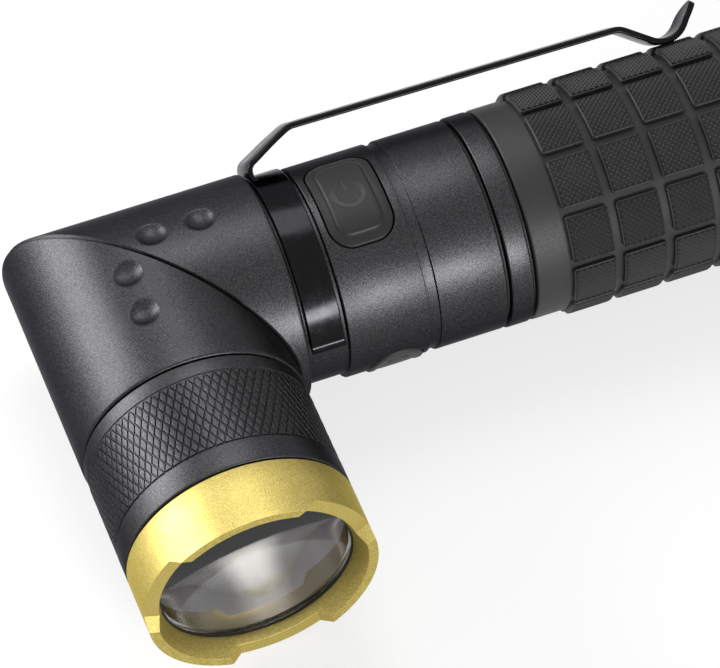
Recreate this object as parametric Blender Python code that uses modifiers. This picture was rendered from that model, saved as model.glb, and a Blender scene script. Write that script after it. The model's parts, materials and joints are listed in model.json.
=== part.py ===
"""Right-angle firefighter flashlight with a turning lamp head.

The handle runs along +X and the lamp head along -Y.  Their axes cross at the
elbow's centre, which lies on the 45 degree joint plane between the two elbow
halves.  The flashlight lies on the floor with its button up, and the origin is
the bottom centre of its bounding box.

Every station is a distance from the elbow's centre along its own axis, and
every turned profile lists (radius, station) points from the far end down the
outer side, and for a ring back up the inner side.
"""

import math

import bmesh
import bpy
from mathutils import Matrix, Vector

MM = 0.001

# ---------------------------------------------------------------- clearances
TOUCH_GAP = 0.3 * MM        # between pieces that bear on each other
SEAL_GAP = 0.1 * MM         # between a soft seal and its seat
OVERCUT = 1.0 * MM          # how far a cutter reaches past what it cuts

# --------------------------------------------------------------- roundness
OUTER_SIDES = 40
INNER_SIDES = 24
SMALL_SIDES = 16

# --------------------------------------------------------- shared outer sizes
HEAD_RADIUS = 18.0 * MM     # lamp head, bezel, elbow and tail cap
CHAMFER = 0.5 * MM

# ------------------------------------------------------------------- elbow
ELBOW_WALL = 5.1 * MM
ELBOW_CORNER = 1.0 * MM     # rounding of the outer corner
MITRE_PLATE = 3.0 * MM      # wall at the turning joint
HANDLE_ELBOW_END = 20.0 * MM
HEAD_ELBOW_END = 21.5 * MM
DIMPLE_RADIUS = 2.35 * MM
DIMPLE_DEPTH = 1.0 * MM
DIMPLE_STATIONS = (2.65 * MM, 10.35 * MM)
DIMPLE_TURN = math.radians(10.0)

# ------------------------------------------------------------ turning joint
SPINDLE_RADIUS = 6.0 * MM
SPINDLE_BORE = 3.5 * MM
SPINDLE_FLANGE = 9.0 * MM
SPINDLE_FLANGE_THICKNESS = 1.6 * MM
WASHER_RADIUS = 9.5 * MM
WASHER_THICKNESS = 0.8 * MM
NUT_RADIUS = 9.6 * MM
NUT_THICKNESS = 2.6 * MM
SWIVEL_SEAL_RADIUS = 10.6 * MM
SWIVEL_SEAL_WIDTH = 1.4 * MM
SWIVEL_SEAL_DEPTH = 1.2 * MM

# ------------------------------------------------------------ switch housing
HOUSING_STEP = 1.25 * MM     # how far the housing lies below the elbow's skin
HOUSING_START = 26.7 * MM
HOUSING_END = 52.5 * MM
HOUSING_WALL = 3.55 * MM
HOUSING_SPIGOT_WALL = 2.0 * MM  # of the part that enters the elbow half
FACE_SEAL_STEP = 1.2 * MM   # from the elbow's bore to the middle of the seal
FACE_SEAL_WIDTH = 1.6 * MM
FACE_SEAL_DEPTH = 1.2 * MM
CLIP_GROOVE_DEPTH = 0.75 * MM
TRIM_GROOVE_START = 39.8 * MM
TRIM_GROOVE_WIDTH = 1.7 * MM
TRIM_GROOVE_DEPTH = 0.4 * MM
THREAD_START = 43.0 * MM

# ------------------------------------------------------------------ button
BUTTON_CENTRE = 33.1 * MM
BUTTON_LENGTH = 10.8 * MM
BUTTON_WIDTH = 17.0 * MM
BUTTON_CORNER = 3.7 * MM
BUTTON_PROUD = 0.35 * MM
BUTTON_FLANGE = 1.0 * MM    # how far the retaining flange reaches under the wall
BUTTON_TRAVEL = 0.8 * MM
SWITCH_SIZE = 6.2 * MM
BOARD_THICKNESS = 1.2 * MM
BOARD_TOP = 5.0 * MM
BOARD_START = 27.0 * MM
BOARD_LENGTH = 12.2 * MM

# ----------------------------------------------------------- charging port
PORT_TURN = math.radians(124.0)
PORT_CENTRE = 34.6 * MM
PORT_LENGTH = 9.0 * MM
PORT_WIDTH = 13.0 * MM
PORT_RECESS_DEPTH = 1.55 * MM
PORT_COVER_PROUD = 0.35 * MM
SOCKET_WIDTH = 9.0 * MM
SOCKET_HEIGHT = 3.3 * MM
SOCKET_CORNER = 1.4 * MM
SOCKET_WALL = 0.4 * MM
SOCKET_DEPTH = 6.6 * MM
SOCKET_TONGUE = 0.7 * MM

# ---------------------------------------------------------- ring between lines
LINE_WIDTH = 0.6 * MM
LINE_DEPTH = 1.0 * MM       # below the ring's skin
RING_WIDTH = 3.6 * MM
RING_STEP = 1.1 * MM        # how far the ring lies below the elbow's skin

# ------------------------------------------------------------ tube and cell
TUBE_WALL = 2.4 * MM
CELL_PLAY = 0.45 * MM        # round the cell
CELL_LENGTH = 70.0 * MM
CELL_NUB_RADIUS = 4.0 * MM
CELL_NUB_HEIGHT = 0.8 * MM
DRIVER_THICKNESS = 1.6 * MM
SPRING_WIRE = 0.5 * MM
SPRING_TURNS = 3.5
SPRING_POINTS = 9           # along one turn
CONTACT_SPRING_RADIUS = 3.4 * MM
CONTACT_SPRING_LENGTH = 5.2 * MM
TAIL_SPRING_RADIUS = 6.4 * MM
TAIL_SPRING_LENGTH = 11.45 * MM

# ------------------------------------------------------------------- grip
GRIP_BLOCK_HEIGHT = 0.9 * MM
GRIP_WALL = 2.95 * MM        # under the grooves
GRIP_COLLAR_LENGTH = 5.75 * MM
GRIP_GROOVE_WIDTH = 1.3 * MM
GRIP_ROWS = 7
GRIP_SIDES = 48
GRIP_FLUTE_COUNT = 12
GRIP_FLUTE_RISE = 0.2 * MM  # floor of the flutes above the cross grooves

# --------------------------------------------------------------- tail cap
CAP_WALL_THICKNESS = 4.4 * MM
CAP_BORE_LENGTH = 12.6 * MM
CAP_PROUD = 0.35 * MM       # how far the cap stands over the grip's blocks
CAP_GROOVE_DEPTH = 0.7 * MM
CAP_GROOVE_WIDTH = 1.6 * MM
TAIL_SEAL_WIDTH = 1.6 * MM
TAIL_SEAL_DEPTH = 1.0 * MM
MAGNET_RADIUS = 7.0 * MM
MAGNET_THICKNESS = 2.0 * MM
SEAT_THICKNESS = 0.9 * MM
SEAT_PLAY = 0.6 * MM         # round the spring's seat

# ------------------------------------------------------------- pocket clip
CLIP_TURN = math.radians(-50.0)
CLIP_THICKNESS = 1.0 * MM
CLIP_WIDTH = 6.2 * MM
CLIP_ROOT_WIDTH = 9.6 * MM
CLIP_ROOT_LENGTH = 4.2 * MM
BAND_THICKNESS = 0.8 * MM
BAND_WIDTH = 5.4 * MM
BAND_OPENING = math.radians(104.0)
CLIP_SHOULDER_RISE = 2.65 * MM  # from the band to where the riser turns
CLIP_SHOULDER_BEND = 1.9 * MM
CLIP_BAR_RISE = 4.3 * MM    # clear height of the bar over the elbow's skin
CLIP_BAR_DROP = 0.6 * MM    # how much nearer its far end lies
CLIP_BAR_START = 29.15 * MM
CLIP_BEND = 3.0 * MM
CLIP_FALL = math.radians(35.0)
CLIP_HEEL = 90.5 * MM       # where the clip comes down to the grip
CLIP_HEEL_BEND = 4.5 * MM
CLIP_TIP_RISE = math.radians(50.0)
CLIP_TIP_LENGTH = 8.1 * MM
CLIP_TIP_CORNER = 3.0 * MM

# -------------------------------------------------------------- lamp head
HEAD_NECK_WIDTH = 2.4 * MM
HEAD_NECK_STEP = 0.2 * MM
KNURL_WIDTH = 13.3 * MM
KNURL_STEP = 0.1 * MM       # down to the mean of its crests and cuts
BEZEL_START = 42.1 * MM
BEZEL_END = 52.0 * MM
BEZEL_WALL = 1.7 * MM       # outside the lamp housing's spigot
BEZEL_SPIGOT_LENGTH = 4.2 * MM
BEZEL_LIP_REACH = 2.8 * MM  # in from the bezel's skin
BEZEL_LIP_DEPTH = 3.3 * MM  # from the bezel's end to the lip's back
BEZEL_LIP_THICKNESS = 0.5 * MM
BEZEL_RIM = 1.5 * MM
NOTCH_COUNT = 3
NOTCH_TURN = math.radians(68.75)
NOTCH_DEPTH = 1.75 * MM
NOTCH_FLOOR = 12.8 * MM     # width of the notch at its floor
NOTCH_MOUTH = 16.3 * MM     # width of the notch at the rim
LENS_PLAY = 0.35 * MM       # round the lens
LENS_THICKNESS = 1.6 * MM
LENS_SEAL_WIDTH = 1.0 * MM
LENS_SEAL_THICKNESS = 0.5 * MM
SPIGOT_WALL = 0.55 * MM
REFLECTOR_BASE = 3.9 * MM
REFLECTOR_WALL = 0.8 * MM
REFLECTOR_FLANGE = 0.7 * MM
REFLECTOR_STEPS = 9
LED_SIZE = 5.0 * MM
LED_THICKNESS = 1.3 * MM
LED_BOARD_RADIUS = 10.0 * MM
LED_BOARD_THICKNESS = 1.2 * MM
INSULATOR_RADIUS = 5.6 * MM
INSULATOR_THICKNESS = 0.7 * MM
LED_BOARD_STATION = 28.6 * MM
HEAT_SINK_THICKNESS = 4.2 * MM
HEAT_SINK_LEDGE = 1.75 * MM  # from the lens cavity in to the heat sink
SCREW_CIRCLE = 8.2 * MM
SCREW_RADIUS = 1.0 * MM
SCREW_HEAD_RADIUS = 1.7 * MM
SCREW_HEAD_THICKNESS = 0.9 * MM
SCREW_LENGTH = 4.0 * MM
LEAD_RADIUS = 1.1 * MM

# ---------------------------------------------------------- derived radii
ELBOW_BORE = HEAD_RADIUS - ELBOW_WALL
FACE_SEAL_RADIUS = ELBOW_BORE + FACE_SEAL_STEP
SPIGOT_RADIUS = ELBOW_BORE - TOUCH_GAP
SPIGOT_BORE = SPIGOT_RADIUS - HOUSING_SPIGOT_WALL
HOUSING_RADIUS = HEAD_RADIUS - HOUSING_STEP
HOUSING_BORE = HOUSING_RADIUS - HOUSING_WALL
CLIP_GROOVE_RADIUS = HOUSING_RADIUS - CLIP_GROOVE_DEPTH
PORT_RECESS_FLOOR = HOUSING_RADIUS - PORT_RECESS_DEPTH
RING_RADIUS = HEAD_RADIUS - RING_STEP
LINE_RADIUS = RING_RADIUS - LINE_DEPTH
GRIP_GROOVE_RADIUS = HOUSING_RADIUS
THREAD_BORE = GRIP_GROOVE_RADIUS - GRIP_WALL
TUBE_OUTER = THREAD_BORE - TOUCH_GAP
TUBE_BORE = TUBE_OUTER - TUBE_WALL
CELL_RADIUS = TUBE_BORE - CELL_PLAY
SEAT_RADIUS = TUBE_BORE - SEAT_PLAY
GRIP_FLUTE_RADIUS = GRIP_GROOVE_RADIUS + GRIP_FLUTE_RISE
GRIP_BLOCK_RADIUS = GRIP_GROOVE_RADIUS + GRIP_BLOCK_HEIGHT
CAP_RADIUS = GRIP_BLOCK_RADIUS + CAP_PROUD
HEAD_NECK_RADIUS = HEAD_RADIUS - HEAD_NECK_STEP
KNURL_RADIUS = HEAD_RADIUS - KNURL_STEP
BEZEL_SPIGOT_RADIUS = HEAD_RADIUS - BEZEL_WALL
BEZEL_LIP_RADIUS = HEAD_RADIUS - BEZEL_LIP_REACH
BEZEL_MOUTH_RADIUS = HEAD_RADIUS - BEZEL_RIM
LENS_CAVITY = BEZEL_SPIGOT_RADIUS - SPIGOT_WALL
HEAT_SINK_RADIUS = LENS_CAVITY - HEAT_SINK_LEDGE
LENS_RADIUS = LENS_CAVITY - LENS_PLAY
LENS_SEAL_BORE = LENS_CAVITY - SEAL_GAP - LENS_SEAL_WIDTH
REFLECTOR_MOUTH = LENS_RADIUS - REFLECTOR_WALL

# ------------------------------------------------------- derived stations
BAND_INNER = CLIP_GROOVE_RADIUS + TOUCH_GAP
BAND_START = HANDLE_ELBOW_END + 2 * TOUCH_GAP
BUTTON_TOP = HOUSING_RADIUS + BUTTON_PROUD
KEY_FLANGE_OUTER = HOUSING_BORE - TOUCH_GAP
KEY_FLANGE_INNER = KEY_FLANGE_OUTER - BUTTON_FLANGE
RING_START = HOUSING_END + LINE_WIDTH
RING_END = RING_START + RING_WIDTH
GRIP_START = RING_END + LINE_WIDTH
FIRST_BLOCK = GRIP_START + GRIP_COLLAR_LENGTH
DRIVER_STATION = THREAD_START + SEAL_GAP
TUBE_START = DRIVER_STATION + DRIVER_THICKNESS + TOUCH_GAP
CONTACT_START = DRIVER_STATION + DRIVER_THICKNESS + SEAL_GAP
CELL_START = CONTACT_START + CONTACT_SPRING_LENGTH + SEAL_GAP
CELL_END = CELL_START + CELL_LENGTH
TAIL_SPRING_START = CELL_END + SEAL_GAP
SEAT_START = TAIL_SPRING_START + TAIL_SPRING_LENGTH + SEAL_GAP
CAP_BORE_END = SEAT_START + SEAT_THICKNESS + SEAL_GAP
CAP_START = CAP_BORE_END - CAP_BORE_LENGTH
CAP_END = CAP_BORE_END + CAP_WALL_THICKNESS
CAP_BORE = TUBE_OUTER + TOUCH_GAP
GRIP_END = CAP_START - TOUCH_GAP
GRIP_PITCH = (GRIP_END - FIRST_BLOCK + GRIP_GROOVE_WIDTH) / GRIP_ROWS
TUBE_END = CAP_BORE_END - TOUCH_GAP
TAIL_SEAL_START = CAP_START + CAP_BORE_LENGTH / 3
HEAD_START = HEAD_ELBOW_END + TOUCH_GAP
KNURL_START = HEAD_START + HEAD_NECK_WIDTH
KNURL_END = KNURL_START + KNURL_WIDTH
HEAD_FACE = BEZEL_START - TOUCH_GAP
HEAD_NOSE = HEAD_FACE + BEZEL_SPIGOT_LENGTH
LIP_START = BEZEL_END - BEZEL_LIP_DEPTH
SEAL_START = LIP_START - SEAL_GAP - LENS_SEAL_THICKNESS
LENS_FRONT = SEAL_START - SEAL_GAP
LENS_BACK = LENS_FRONT - LENS_THICKNESS
REFLECTOR_FRONT = LENS_BACK - SEAL_GAP
LED_STATION = LED_BOARD_STATION + LED_BOARD_THICKNESS + SEAL_GAP
INSULATOR_STATION = LED_STATION
REFLECTOR_REAR = INSULATOR_STATION + INSULATOR_THICKNESS + SEAL_GAP
HEAT_SINK_FRONT = LED_BOARD_STATION - SEAL_GAP
HEAT_SINK_REAR = HEAT_SINK_FRONT - HEAT_SINK_THICKNESS
MITRE_FACE = TOUCH_GAP / 2
PLATE_FACE = MITRE_FACE + MITRE_PLATE
SPIGOT_TIP = ELBOW_BORE + math.sqrt(2.0) * PLATE_FACE + TOUCH_GAP
CLIP_BAR_INNER = HEAD_RADIUS + CLIP_BAR_RISE
CLIP_REACH = CLIP_BAR_INNER + CLIP_THICKNESS

# The bounding box that the origin is centred under.
SIDE_REACH = (CLIP_REACH * abs(math.sin(CLIP_TURN))
              + CLIP_WIDTH / 2 * math.cos(CLIP_TURN))
ELBOW_CENTRE = Vector(((HEAD_RADIUS - CAP_END) / 2,
                       (BEZEL_END - SIDE_REACH) / 2,
                       max(HEAD_RADIUS, CAP_RADIUS)))

MATERIALS = {
    # name: (colour, roughness, metallic)
    "black_anodised": ((0.022, 0.022, 0.024), 0.42, 0.75),
    "gold_anodised": ((0.62, 0.52, 0.10), 0.30, 0.95),
    "spring_steel_black": ((0.012, 0.012, 0.014), 0.16, 0.85),
    "black_rubber": ((0.020, 0.020, 0.021), 0.75, 0.0),
    "black_key": ((0.018, 0.018, 0.020), 0.45, 0.0),
    "clear_glass": ((0.80, 0.86, 0.88), 0.03, 0.0),
    "mirror_silver": ((0.90, 0.90, 0.92), 0.05, 1.0),
    "bare_aluminium": ((0.75, 0.75, 0.77), 0.30, 1.0),
    "steel": ((0.50, 0.50, 0.52), 0.28, 1.0),
    "brass": ((0.75, 0.58, 0.25), 0.28, 1.0),
    "circuit_board": ((0.03, 0.12, 0.06), 0.50, 0.0),
    "white_ceramic": ((0.88, 0.88, 0.84), 0.45, 0.0),
    "phosphor": ((0.90, 0.72, 0.12), 0.55, 0.0),
    "cell_wrap": ((0.06, 0.12, 0.32), 0.40, 0.0),
    "wire_red": ((0.50, 0.03, 0.02), 0.50, 0.0),
    "nickel": ((0.66, 0.64, 0.60), 0.22, 1.0),
}


# ------------------------------------------------------------ scene and frames
def clear_scene():
    for item in list(bpy.data.objects):
        bpy.data.objects.remove(item, do_unlink=True)


def new_collection(name):
    collection = bpy.data.collections.new(name)
    bpy.context.scene.collection.children.link(collection)
    return collection


def new_frame(name, location, forward):
    """An empty whose local Z is the forward direction and local X is world up."""
    forward = Vector(forward).normalized()
    up = Vector((0.0, 0.0, 1.0))
    side = forward.cross(up)
    turn = Matrix((up, side, forward)).transposed().to_4x4()
    frame = bpy.data.objects.new(name, None)
    PART.objects.link(frame)
    frame.matrix_world = Matrix.Translation(location) @ turn
    return frame


def new_material(name):
    colour, roughness, metallic = MATERIALS[name]
    material = bpy.data.materials.new(name)
    material.use_nodes = True
    shader = material.node_tree.nodes["Principled BSDF"]
    shader.inputs["Base Color"].default_value = (*colour, 1.0)
    shader.inputs["Roughness"].default_value = roughness
    shader.inputs["Metallic"].default_value = metallic
    material.diffuse_color = (*colour, 1.0)
    return material


def place(name, data, frame, material=None):
    """A part of the flashlight, or a cutter when it has no material."""
    item = bpy.data.objects.new(name, data)
    item.parent = frame
    if material:
        item.data.materials.append(SHADES[material])
        PART.objects.link(item)
    else:
        CUTTERS.objects.link(item)
        item.hide_render = True
        item.display_type = 'WIRE'
    return item


# ------------------------------------------------------------------- shapes
def mesh_from(work, name, smooth=True):
    mesh = bpy.data.meshes.new(name)
    bmesh.ops.recalc_face_normals(work, faces=work.faces)
    work.to_mesh(mesh)
    work.free()
    if smooth:
        mesh.shade_smooth()
        mesh.set_sharp_from_angle(angle=math.radians(35.0))
    return mesh


def turned(name, profile, frame, material=None, sides=OUTER_SIDES):
    """A turned piece: profile points are (radius, station), far end first."""
    work = bmesh.new()
    points = [work.verts.new((radius, 0.0, station)) for radius, station in profile]
    for start, end in zip(points, points[1:]):
        work.edges.new((start, end))
    if profile[0][0] > 0.0:
        work.edges.new((points[-1], points[0]))
    mesh = bpy.data.meshes.new(name)
    work.to_mesh(mesh)
    work.free()
    item = place(name, mesh, frame, material)
    screw = item.modifiers.new("turn", 'SCREW')
    screw.axis = 'Z'
    screw.angle = math.tau
    screw.steps = sides
    screw.render_steps = sides
    screw.use_merge_vertices = True
    screw.merge_threshold = 0.00001
    screw.use_smooth_shade = True
    return item


def tube_profile(inner, outer, start, end, chamfer=0.0):
    """Profile of a plain ring, with chamfered outer edges when asked."""
    if chamfer:
        rim = [(outer - chamfer, end), (outer, end - chamfer),
               (outer, start + chamfer), (outer - chamfer, start)]
    else:
        rim = [(outer, end), (outer, start)]
    return rim + [(inner, start), (inner, end)]


def disc_profile(radius, start, end):
    return [(0.0, end), (radius, end), (radius, start), (0.0, start)]


def cylinder(name, radius, start, end, frame, material=None, sides=OUTER_SIDES):
    return turned(name, disc_profile(radius, start, end), frame, material, sides)


def block(name, size, centre, frame, material=None):
    """A box in a frame's own axes."""
    work = bmesh.new()
    bmesh.ops.create_cube(work, size=1.0)
    bmesh.ops.scale(work, vec=size, verts=work.verts)
    bmesh.ops.translate(work, vec=centre, verts=work.verts)
    return place(name, mesh_from(work, name, smooth=False), frame, material)


def radial_block(name, width, length, start, end, turn, station, frame,
                 material=None, corner=0.0):
    """A box that stands out from the frame's axis from radius start to end.

    Width is measured round the axis and length along it.
    """
    work = bmesh.new()
    bmesh.ops.create_cube(work, size=1.0)
    size = Vector((length, width, end - start))
    bmesh.ops.scale(work, vec=size, verts=work.verts)
    if corner:
        upright = [edge for edge in work.edges
                   if abs(edge.verts[0].co.z - edge.verts[1].co.z) > size.z / 2]
        bmesh.ops.bevel(work, geom=upright, offset=corner, affect='EDGES',
                        segments=5, profile=0.5, material=-1)
    outward = Matrix(((0.0, 0.0, 1.0), (0.0, 1.0, 0.0), (-1.0, 0.0, 0.0)))
    bmesh.ops.rotate(work, cent=(0.0, 0.0, 0.0), verts=work.verts, matrix=outward)
    bmesh.ops.translate(work, vec=((start + end) / 2, 0.0, station), verts=work.verts)
    bmesh.ops.rotate(work, cent=(0.0, 0.0, 0.0), verts=work.verts,
                     matrix=Matrix.Rotation(turn, 3, 'Z'))
    return place(name, mesh_from(work, name, smooth=bool(corner)), frame, material)


def ball(name, radius, centre, frame):
    work = bmesh.new()
    bmesh.ops.create_uvsphere(work, u_segments=16, v_segments=10, radius=radius)
    bmesh.ops.translate(work, vec=centre, verts=work.verts)
    return place(name, mesh_from(work, name), frame)


def combine(item, other, operation='DIFFERENCE'):
    change = item.modifiers.new(other.name, 'BOOLEAN')
    change.operation = operation
    change.solver = 'EXACT'
    change.object = other


def wire(name, points, radius, frame, material, resolution=1):
    """A round wire through points in a frame's own axes."""
    curve = bpy.data.curves.new(name, 'CURVE')
    curve.dimensions = '3D'
    curve.bevel_depth = radius
    curve.bevel_resolution = resolution
    curve.use_fill_caps = True
    spline = curve.splines.new('POLY')
    spline.points.add(len(points) - 1)
    for point, target in zip(spline.points, points):
        point.co = (*target, 1.0)
    return place(name, curve, frame, material)


def spring_points(radius, start, length, turns):
    """Centre line of a spring whose wire stays between start and start+length."""
    low = start + SPRING_WIRE
    rise = length - 2 * SPRING_WIRE
    count = round(turns * SPRING_POINTS)
    points = []
    for index in range(count + 1):
        share = index / count
        angle = share * turns * math.tau
        points.append((radius * math.cos(angle), radius * math.sin(angle),
                       low + rise * share))
    return points


def smooth_route(stops, steps=4):
    """Points along a Catmull-Rom curve through the stops."""
    stops = [Vector(stop) for stop in stops]
    line = [2 * stops[0] - stops[1]] + stops + [2 * stops[-1] - stops[-2]]
    route = []
    for before, start, end, after in zip(line, line[1:], line[2:], line[3:]):
        for step in range(steps):
            t = step / steps
            route.append(0.5 * (2 * start + (end - before) * t
                                + (2 * before - 5 * start + 4 * end - after) * t * t
                                + (3 * start - before - 3 * end + after) * t ** 3))
    return route + [stops[-1]]


# ------------------------------------------------------------------ elbow
def elbow_half(name, frame, end, side, dimple_turn):
    """Half of the elbow: side is +1 on the handle's side of the joint plane."""
    reach = 2.0 * HEAD_RADIUS
    shell = cylinder(name, HEAD_RADIUS, -reach, end, frame, "black_anodised")
    cavity = cylinder(name + "_cavity", ELBOW_BORE, -reach, end + OVERCUT, frame)
    far_side = mitre_block(name + "_far_side", MITRE_FACE, side)
    combine(cavity, mitre_block(name + "_plate", PLATE_FACE, side))
    combine(shell, far_side)
    combine(shell, cavity)
    combine(shell, corner_cutter(name + "_corner"))
    combine(shell, cylinder(name + "_hole", SPINDLE_RADIUS + TOUCH_GAP,
                            -reach / 2, reach / 2, SWIVEL))
    ball_radius = (DIMPLE_RADIUS ** 2 + DIMPLE_DEPTH ** 2) / (2 * DIMPLE_DEPTH)
    distance = HEAD_RADIUS + ball_radius - DIMPLE_DEPTH
    for number, station in enumerate(DIMPLE_STATIONS):
        centre = (distance * math.cos(dimple_turn),
                  distance * math.sin(dimple_turn), station)
        combine(shell, ball(f"{name}_dimple_{number + 1}", ball_radius, centre, frame))
    return shell


def mitre_block(name, face, side):
    """A cutter that fills the space beyond a plane parallel to the joint plane."""
    span = 5.0 * HEAD_RADIUS
    centre = (0.0, 0.0, side * (face - span / 2))
    return block(name, Vector((span, span, span)), centre, SWIVEL)


def corner_cutter(name):
    """What is taken off the outer corner to round it."""
    size = ELBOW_CORNER + OVERCUT
    height = 2.4 * HEAD_RADIUS
    reach = HEAD_RADIUS - ELBOW_CORNER + size / 2
    centre = (0.0, -reach, -reach)
    corner = block(name, Vector((height, size, size)), centre, HANDLE)
    inner = HEAD_RADIUS - ELBOW_CORNER
    post = cylinder(name + "_round", ELBOW_CORNER, -height, height, POST)
    post.location = (-inner, inner, 0.0)
    combine(corner, post)
    return corner


# ----------------------------------------------------------- turning joint
def build_swivel():
    flange_top = -PLATE_FACE - TOUCH_GAP
    flange_low = flange_top - SPINDLE_FLANGE_THICKNESS
    washer_low = PLATE_FACE + SEAL_GAP
    washer_top = washer_low + WASHER_THICKNESS
    nut_low = washer_top + TOUCH_GAP
    nut_top = nut_low + NUT_THICKNESS
    turned("swivel_spindle",
           [(SPINDLE_RADIUS, nut_top + CHAMFER), (SPINDLE_RADIUS, flange_top),
            (SPINDLE_FLANGE, flange_top), (SPINDLE_FLANGE, flange_low),
            (SPINDLE_BORE, flange_low), (SPINDLE_BORE, nut_top + CHAMFER)],
           SWIVEL, "steel", INNER_SIDES)
    turned("swivel_washer",
           tube_profile(SPINDLE_RADIUS + TOUCH_GAP, WASHER_RADIUS, washer_low, washer_top),
           SWIVEL, "brass", INNER_SIDES)
    turned("swivel_nut",
           tube_profile(SPINDLE_RADIUS + SEAL_GAP, NUT_RADIUS, nut_low, nut_top, CHAMFER),
           SWIVEL, "steel", INNER_SIDES)
    inner = SWIVEL_SEAL_RADIUS - SWIVEL_SEAL_WIDTH / 2
    outer = SWIVEL_SEAL_RADIUS + SWIVEL_SEAL_WIDTH / 2
    groove_floor = MITRE_FACE + SWIVEL_SEAL_DEPTH
    turned("swivel_seal",
           tube_profile(inner, outer, MITRE_FACE, groove_floor - SEAL_GAP),
           SWIVEL, "black_rubber", INNER_SIDES)
    return turned("swivel_seal_groove",
                  tube_profile(inner - SEAL_GAP, outer + SEAL_GAP,
                               -OVERCUT, groove_floor),
                  SWIVEL, sides=INNER_SIDES)


def build_elbow():
    handle_half = elbow_half("body_elbow_shell", HANDLE, HANDLE_ELBOW_END, 1, -DIMPLE_TURN)
    elbow_half("head_elbow_shell", HEAD, HEAD_ELBOW_END, -1, DIMPLE_TURN)
    combine(handle_half, build_swivel())


# ----------------------------------------------------------- switch housing
def spigot_outline(shoulder):
    """Outer points from a shoulder, with its seal's groove, to the spigot's tip."""
    inner = FACE_SEAL_RADIUS - FACE_SEAL_WIDTH / 2
    outer = FACE_SEAL_RADIUS + FACE_SEAL_WIDTH / 2
    floor = shoulder + FACE_SEAL_DEPTH
    return [(outer, shoulder), (outer, floor), (inner, floor), (inner, shoulder),
            (SPIGOT_RADIUS, shoulder), (SPIGOT_RADIUS, SPIGOT_TIP)]


def face_seal(name, shoulder, frame):
    """The O ring between a shoulder and the end of its elbow half."""
    inner = FACE_SEAL_RADIUS - FACE_SEAL_WIDTH / 2 + SEAL_GAP
    outer = FACE_SEAL_RADIUS + FACE_SEAL_WIDTH / 2 - SEAL_GAP
    low = shoulder - TOUCH_GAP + SEAL_GAP
    high = shoulder + FACE_SEAL_DEPTH - SEAL_GAP
    turned(name, tube_profile(inner, outer, low, high), frame, "black_rubber")


def build_housing():
    shoulder = HANDLE_ELBOW_END + TOUCH_GAP
    groove_floor = HOUSING_RADIUS - TRIM_GROOVE_DEPTH
    groove_end = TRIM_GROOVE_START + TRIM_GROOVE_WIDTH
    outside = [(HOUSING_RADIUS - CHAMFER, HOUSING_END), (HOUSING_RADIUS, HOUSING_END - CHAMFER),
               (HOUSING_RADIUS, groove_end), (groove_floor, groove_end),
               (groove_floor, TRIM_GROOVE_START), (HOUSING_RADIUS, TRIM_GROOVE_START),
               (HOUSING_RADIUS, HOUSING_START), (CLIP_GROOVE_RADIUS, HOUSING_START),
               (CLIP_GROOVE_RADIUS, shoulder)]
    outside += spigot_outline(shoulder)
    inside = [(SPIGOT_BORE, SPIGOT_TIP), (SPIGOT_BORE, HOUSING_START),
              (HOUSING_BORE, HOUSING_START), (HOUSING_BORE, THREAD_START),
              (THREAD_BORE, THREAD_START), (THREAD_BORE, HOUSING_END)]
    housing = turned("switch_housing", outside + inside, HANDLE, "black_anodised")
    combine(housing, radial_block("button_opening", BUTTON_WIDTH, BUTTON_LENGTH,
                                  BOARD_TOP, HEAD_RADIUS, 0.0, BUTTON_CENTRE, HANDLE,
                                  corner=BUTTON_CORNER))
    combine(housing, radial_block("port_recess", PORT_WIDTH, PORT_LENGTH,
                                  PORT_RECESS_FLOOR, HEAD_RADIUS, PORT_TURN, PORT_CENTRE,
                                  HANDLE, corner=PORT_LENGTH / 2 - SEAL_GAP))
    combine(housing, radial_block("port_window", SOCKET_WIDTH + 2 * SEAL_GAP,
                                  SOCKET_HEIGHT + 2 * SEAL_GAP, HOUSING_BORE / 2,
                                  HEAD_RADIUS, PORT_TURN, PORT_CENTRE, HANDLE,
                                  corner=SOCKET_CORNER))
    face_seal("housing_seal", shoulder, HANDLE)


def build_button():
    """The key: a curved plate through the opening, held by a flange inside."""
    shell = [(BUTTON_TOP, 2 * BUTTON_CENTRE), (BUTTON_TOP, 0.0),
             (KEY_FLANGE_INNER, 0.0), (KEY_FLANGE_INNER, 2 * BUTTON_CENTRE)]
    key = turned("button_key", shell, BUTTON, "black_key")
    gap = 2 * TOUCH_GAP
    combine(key, radial_block("key_outline", BUTTON_WIDTH - gap, BUTTON_LENGTH - gap,
                              BOARD_TOP, 2 * HEAD_RADIUS, 0.0, BUTTON_CENTRE, BUTTON,
                              corner=BUTTON_CORNER - TOUCH_GAP), 'INTERSECT')
    flange = turned("key_flange", [(KEY_FLANGE_OUTER, 2 * BUTTON_CENTRE),
                                   (KEY_FLANGE_OUTER, 0.0), (KEY_FLANGE_INNER, 0.0),
                                   (KEY_FLANGE_INNER, 2 * BUTTON_CENTRE)], BUTTON)
    combine(flange, radial_block("flange_outline", BUTTON_WIDTH + BUTTON_FLANGE,
                                 BUTTON_LENGTH + BUTTON_FLANGE, BOARD_TOP,
                                 2 * HEAD_RADIUS, 0.0, BUTTON_CENTRE, BUTTON,
                                 corner=BUTTON_CORNER), 'INTERSECT')
    combine(key, flange, 'UNION')


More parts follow.
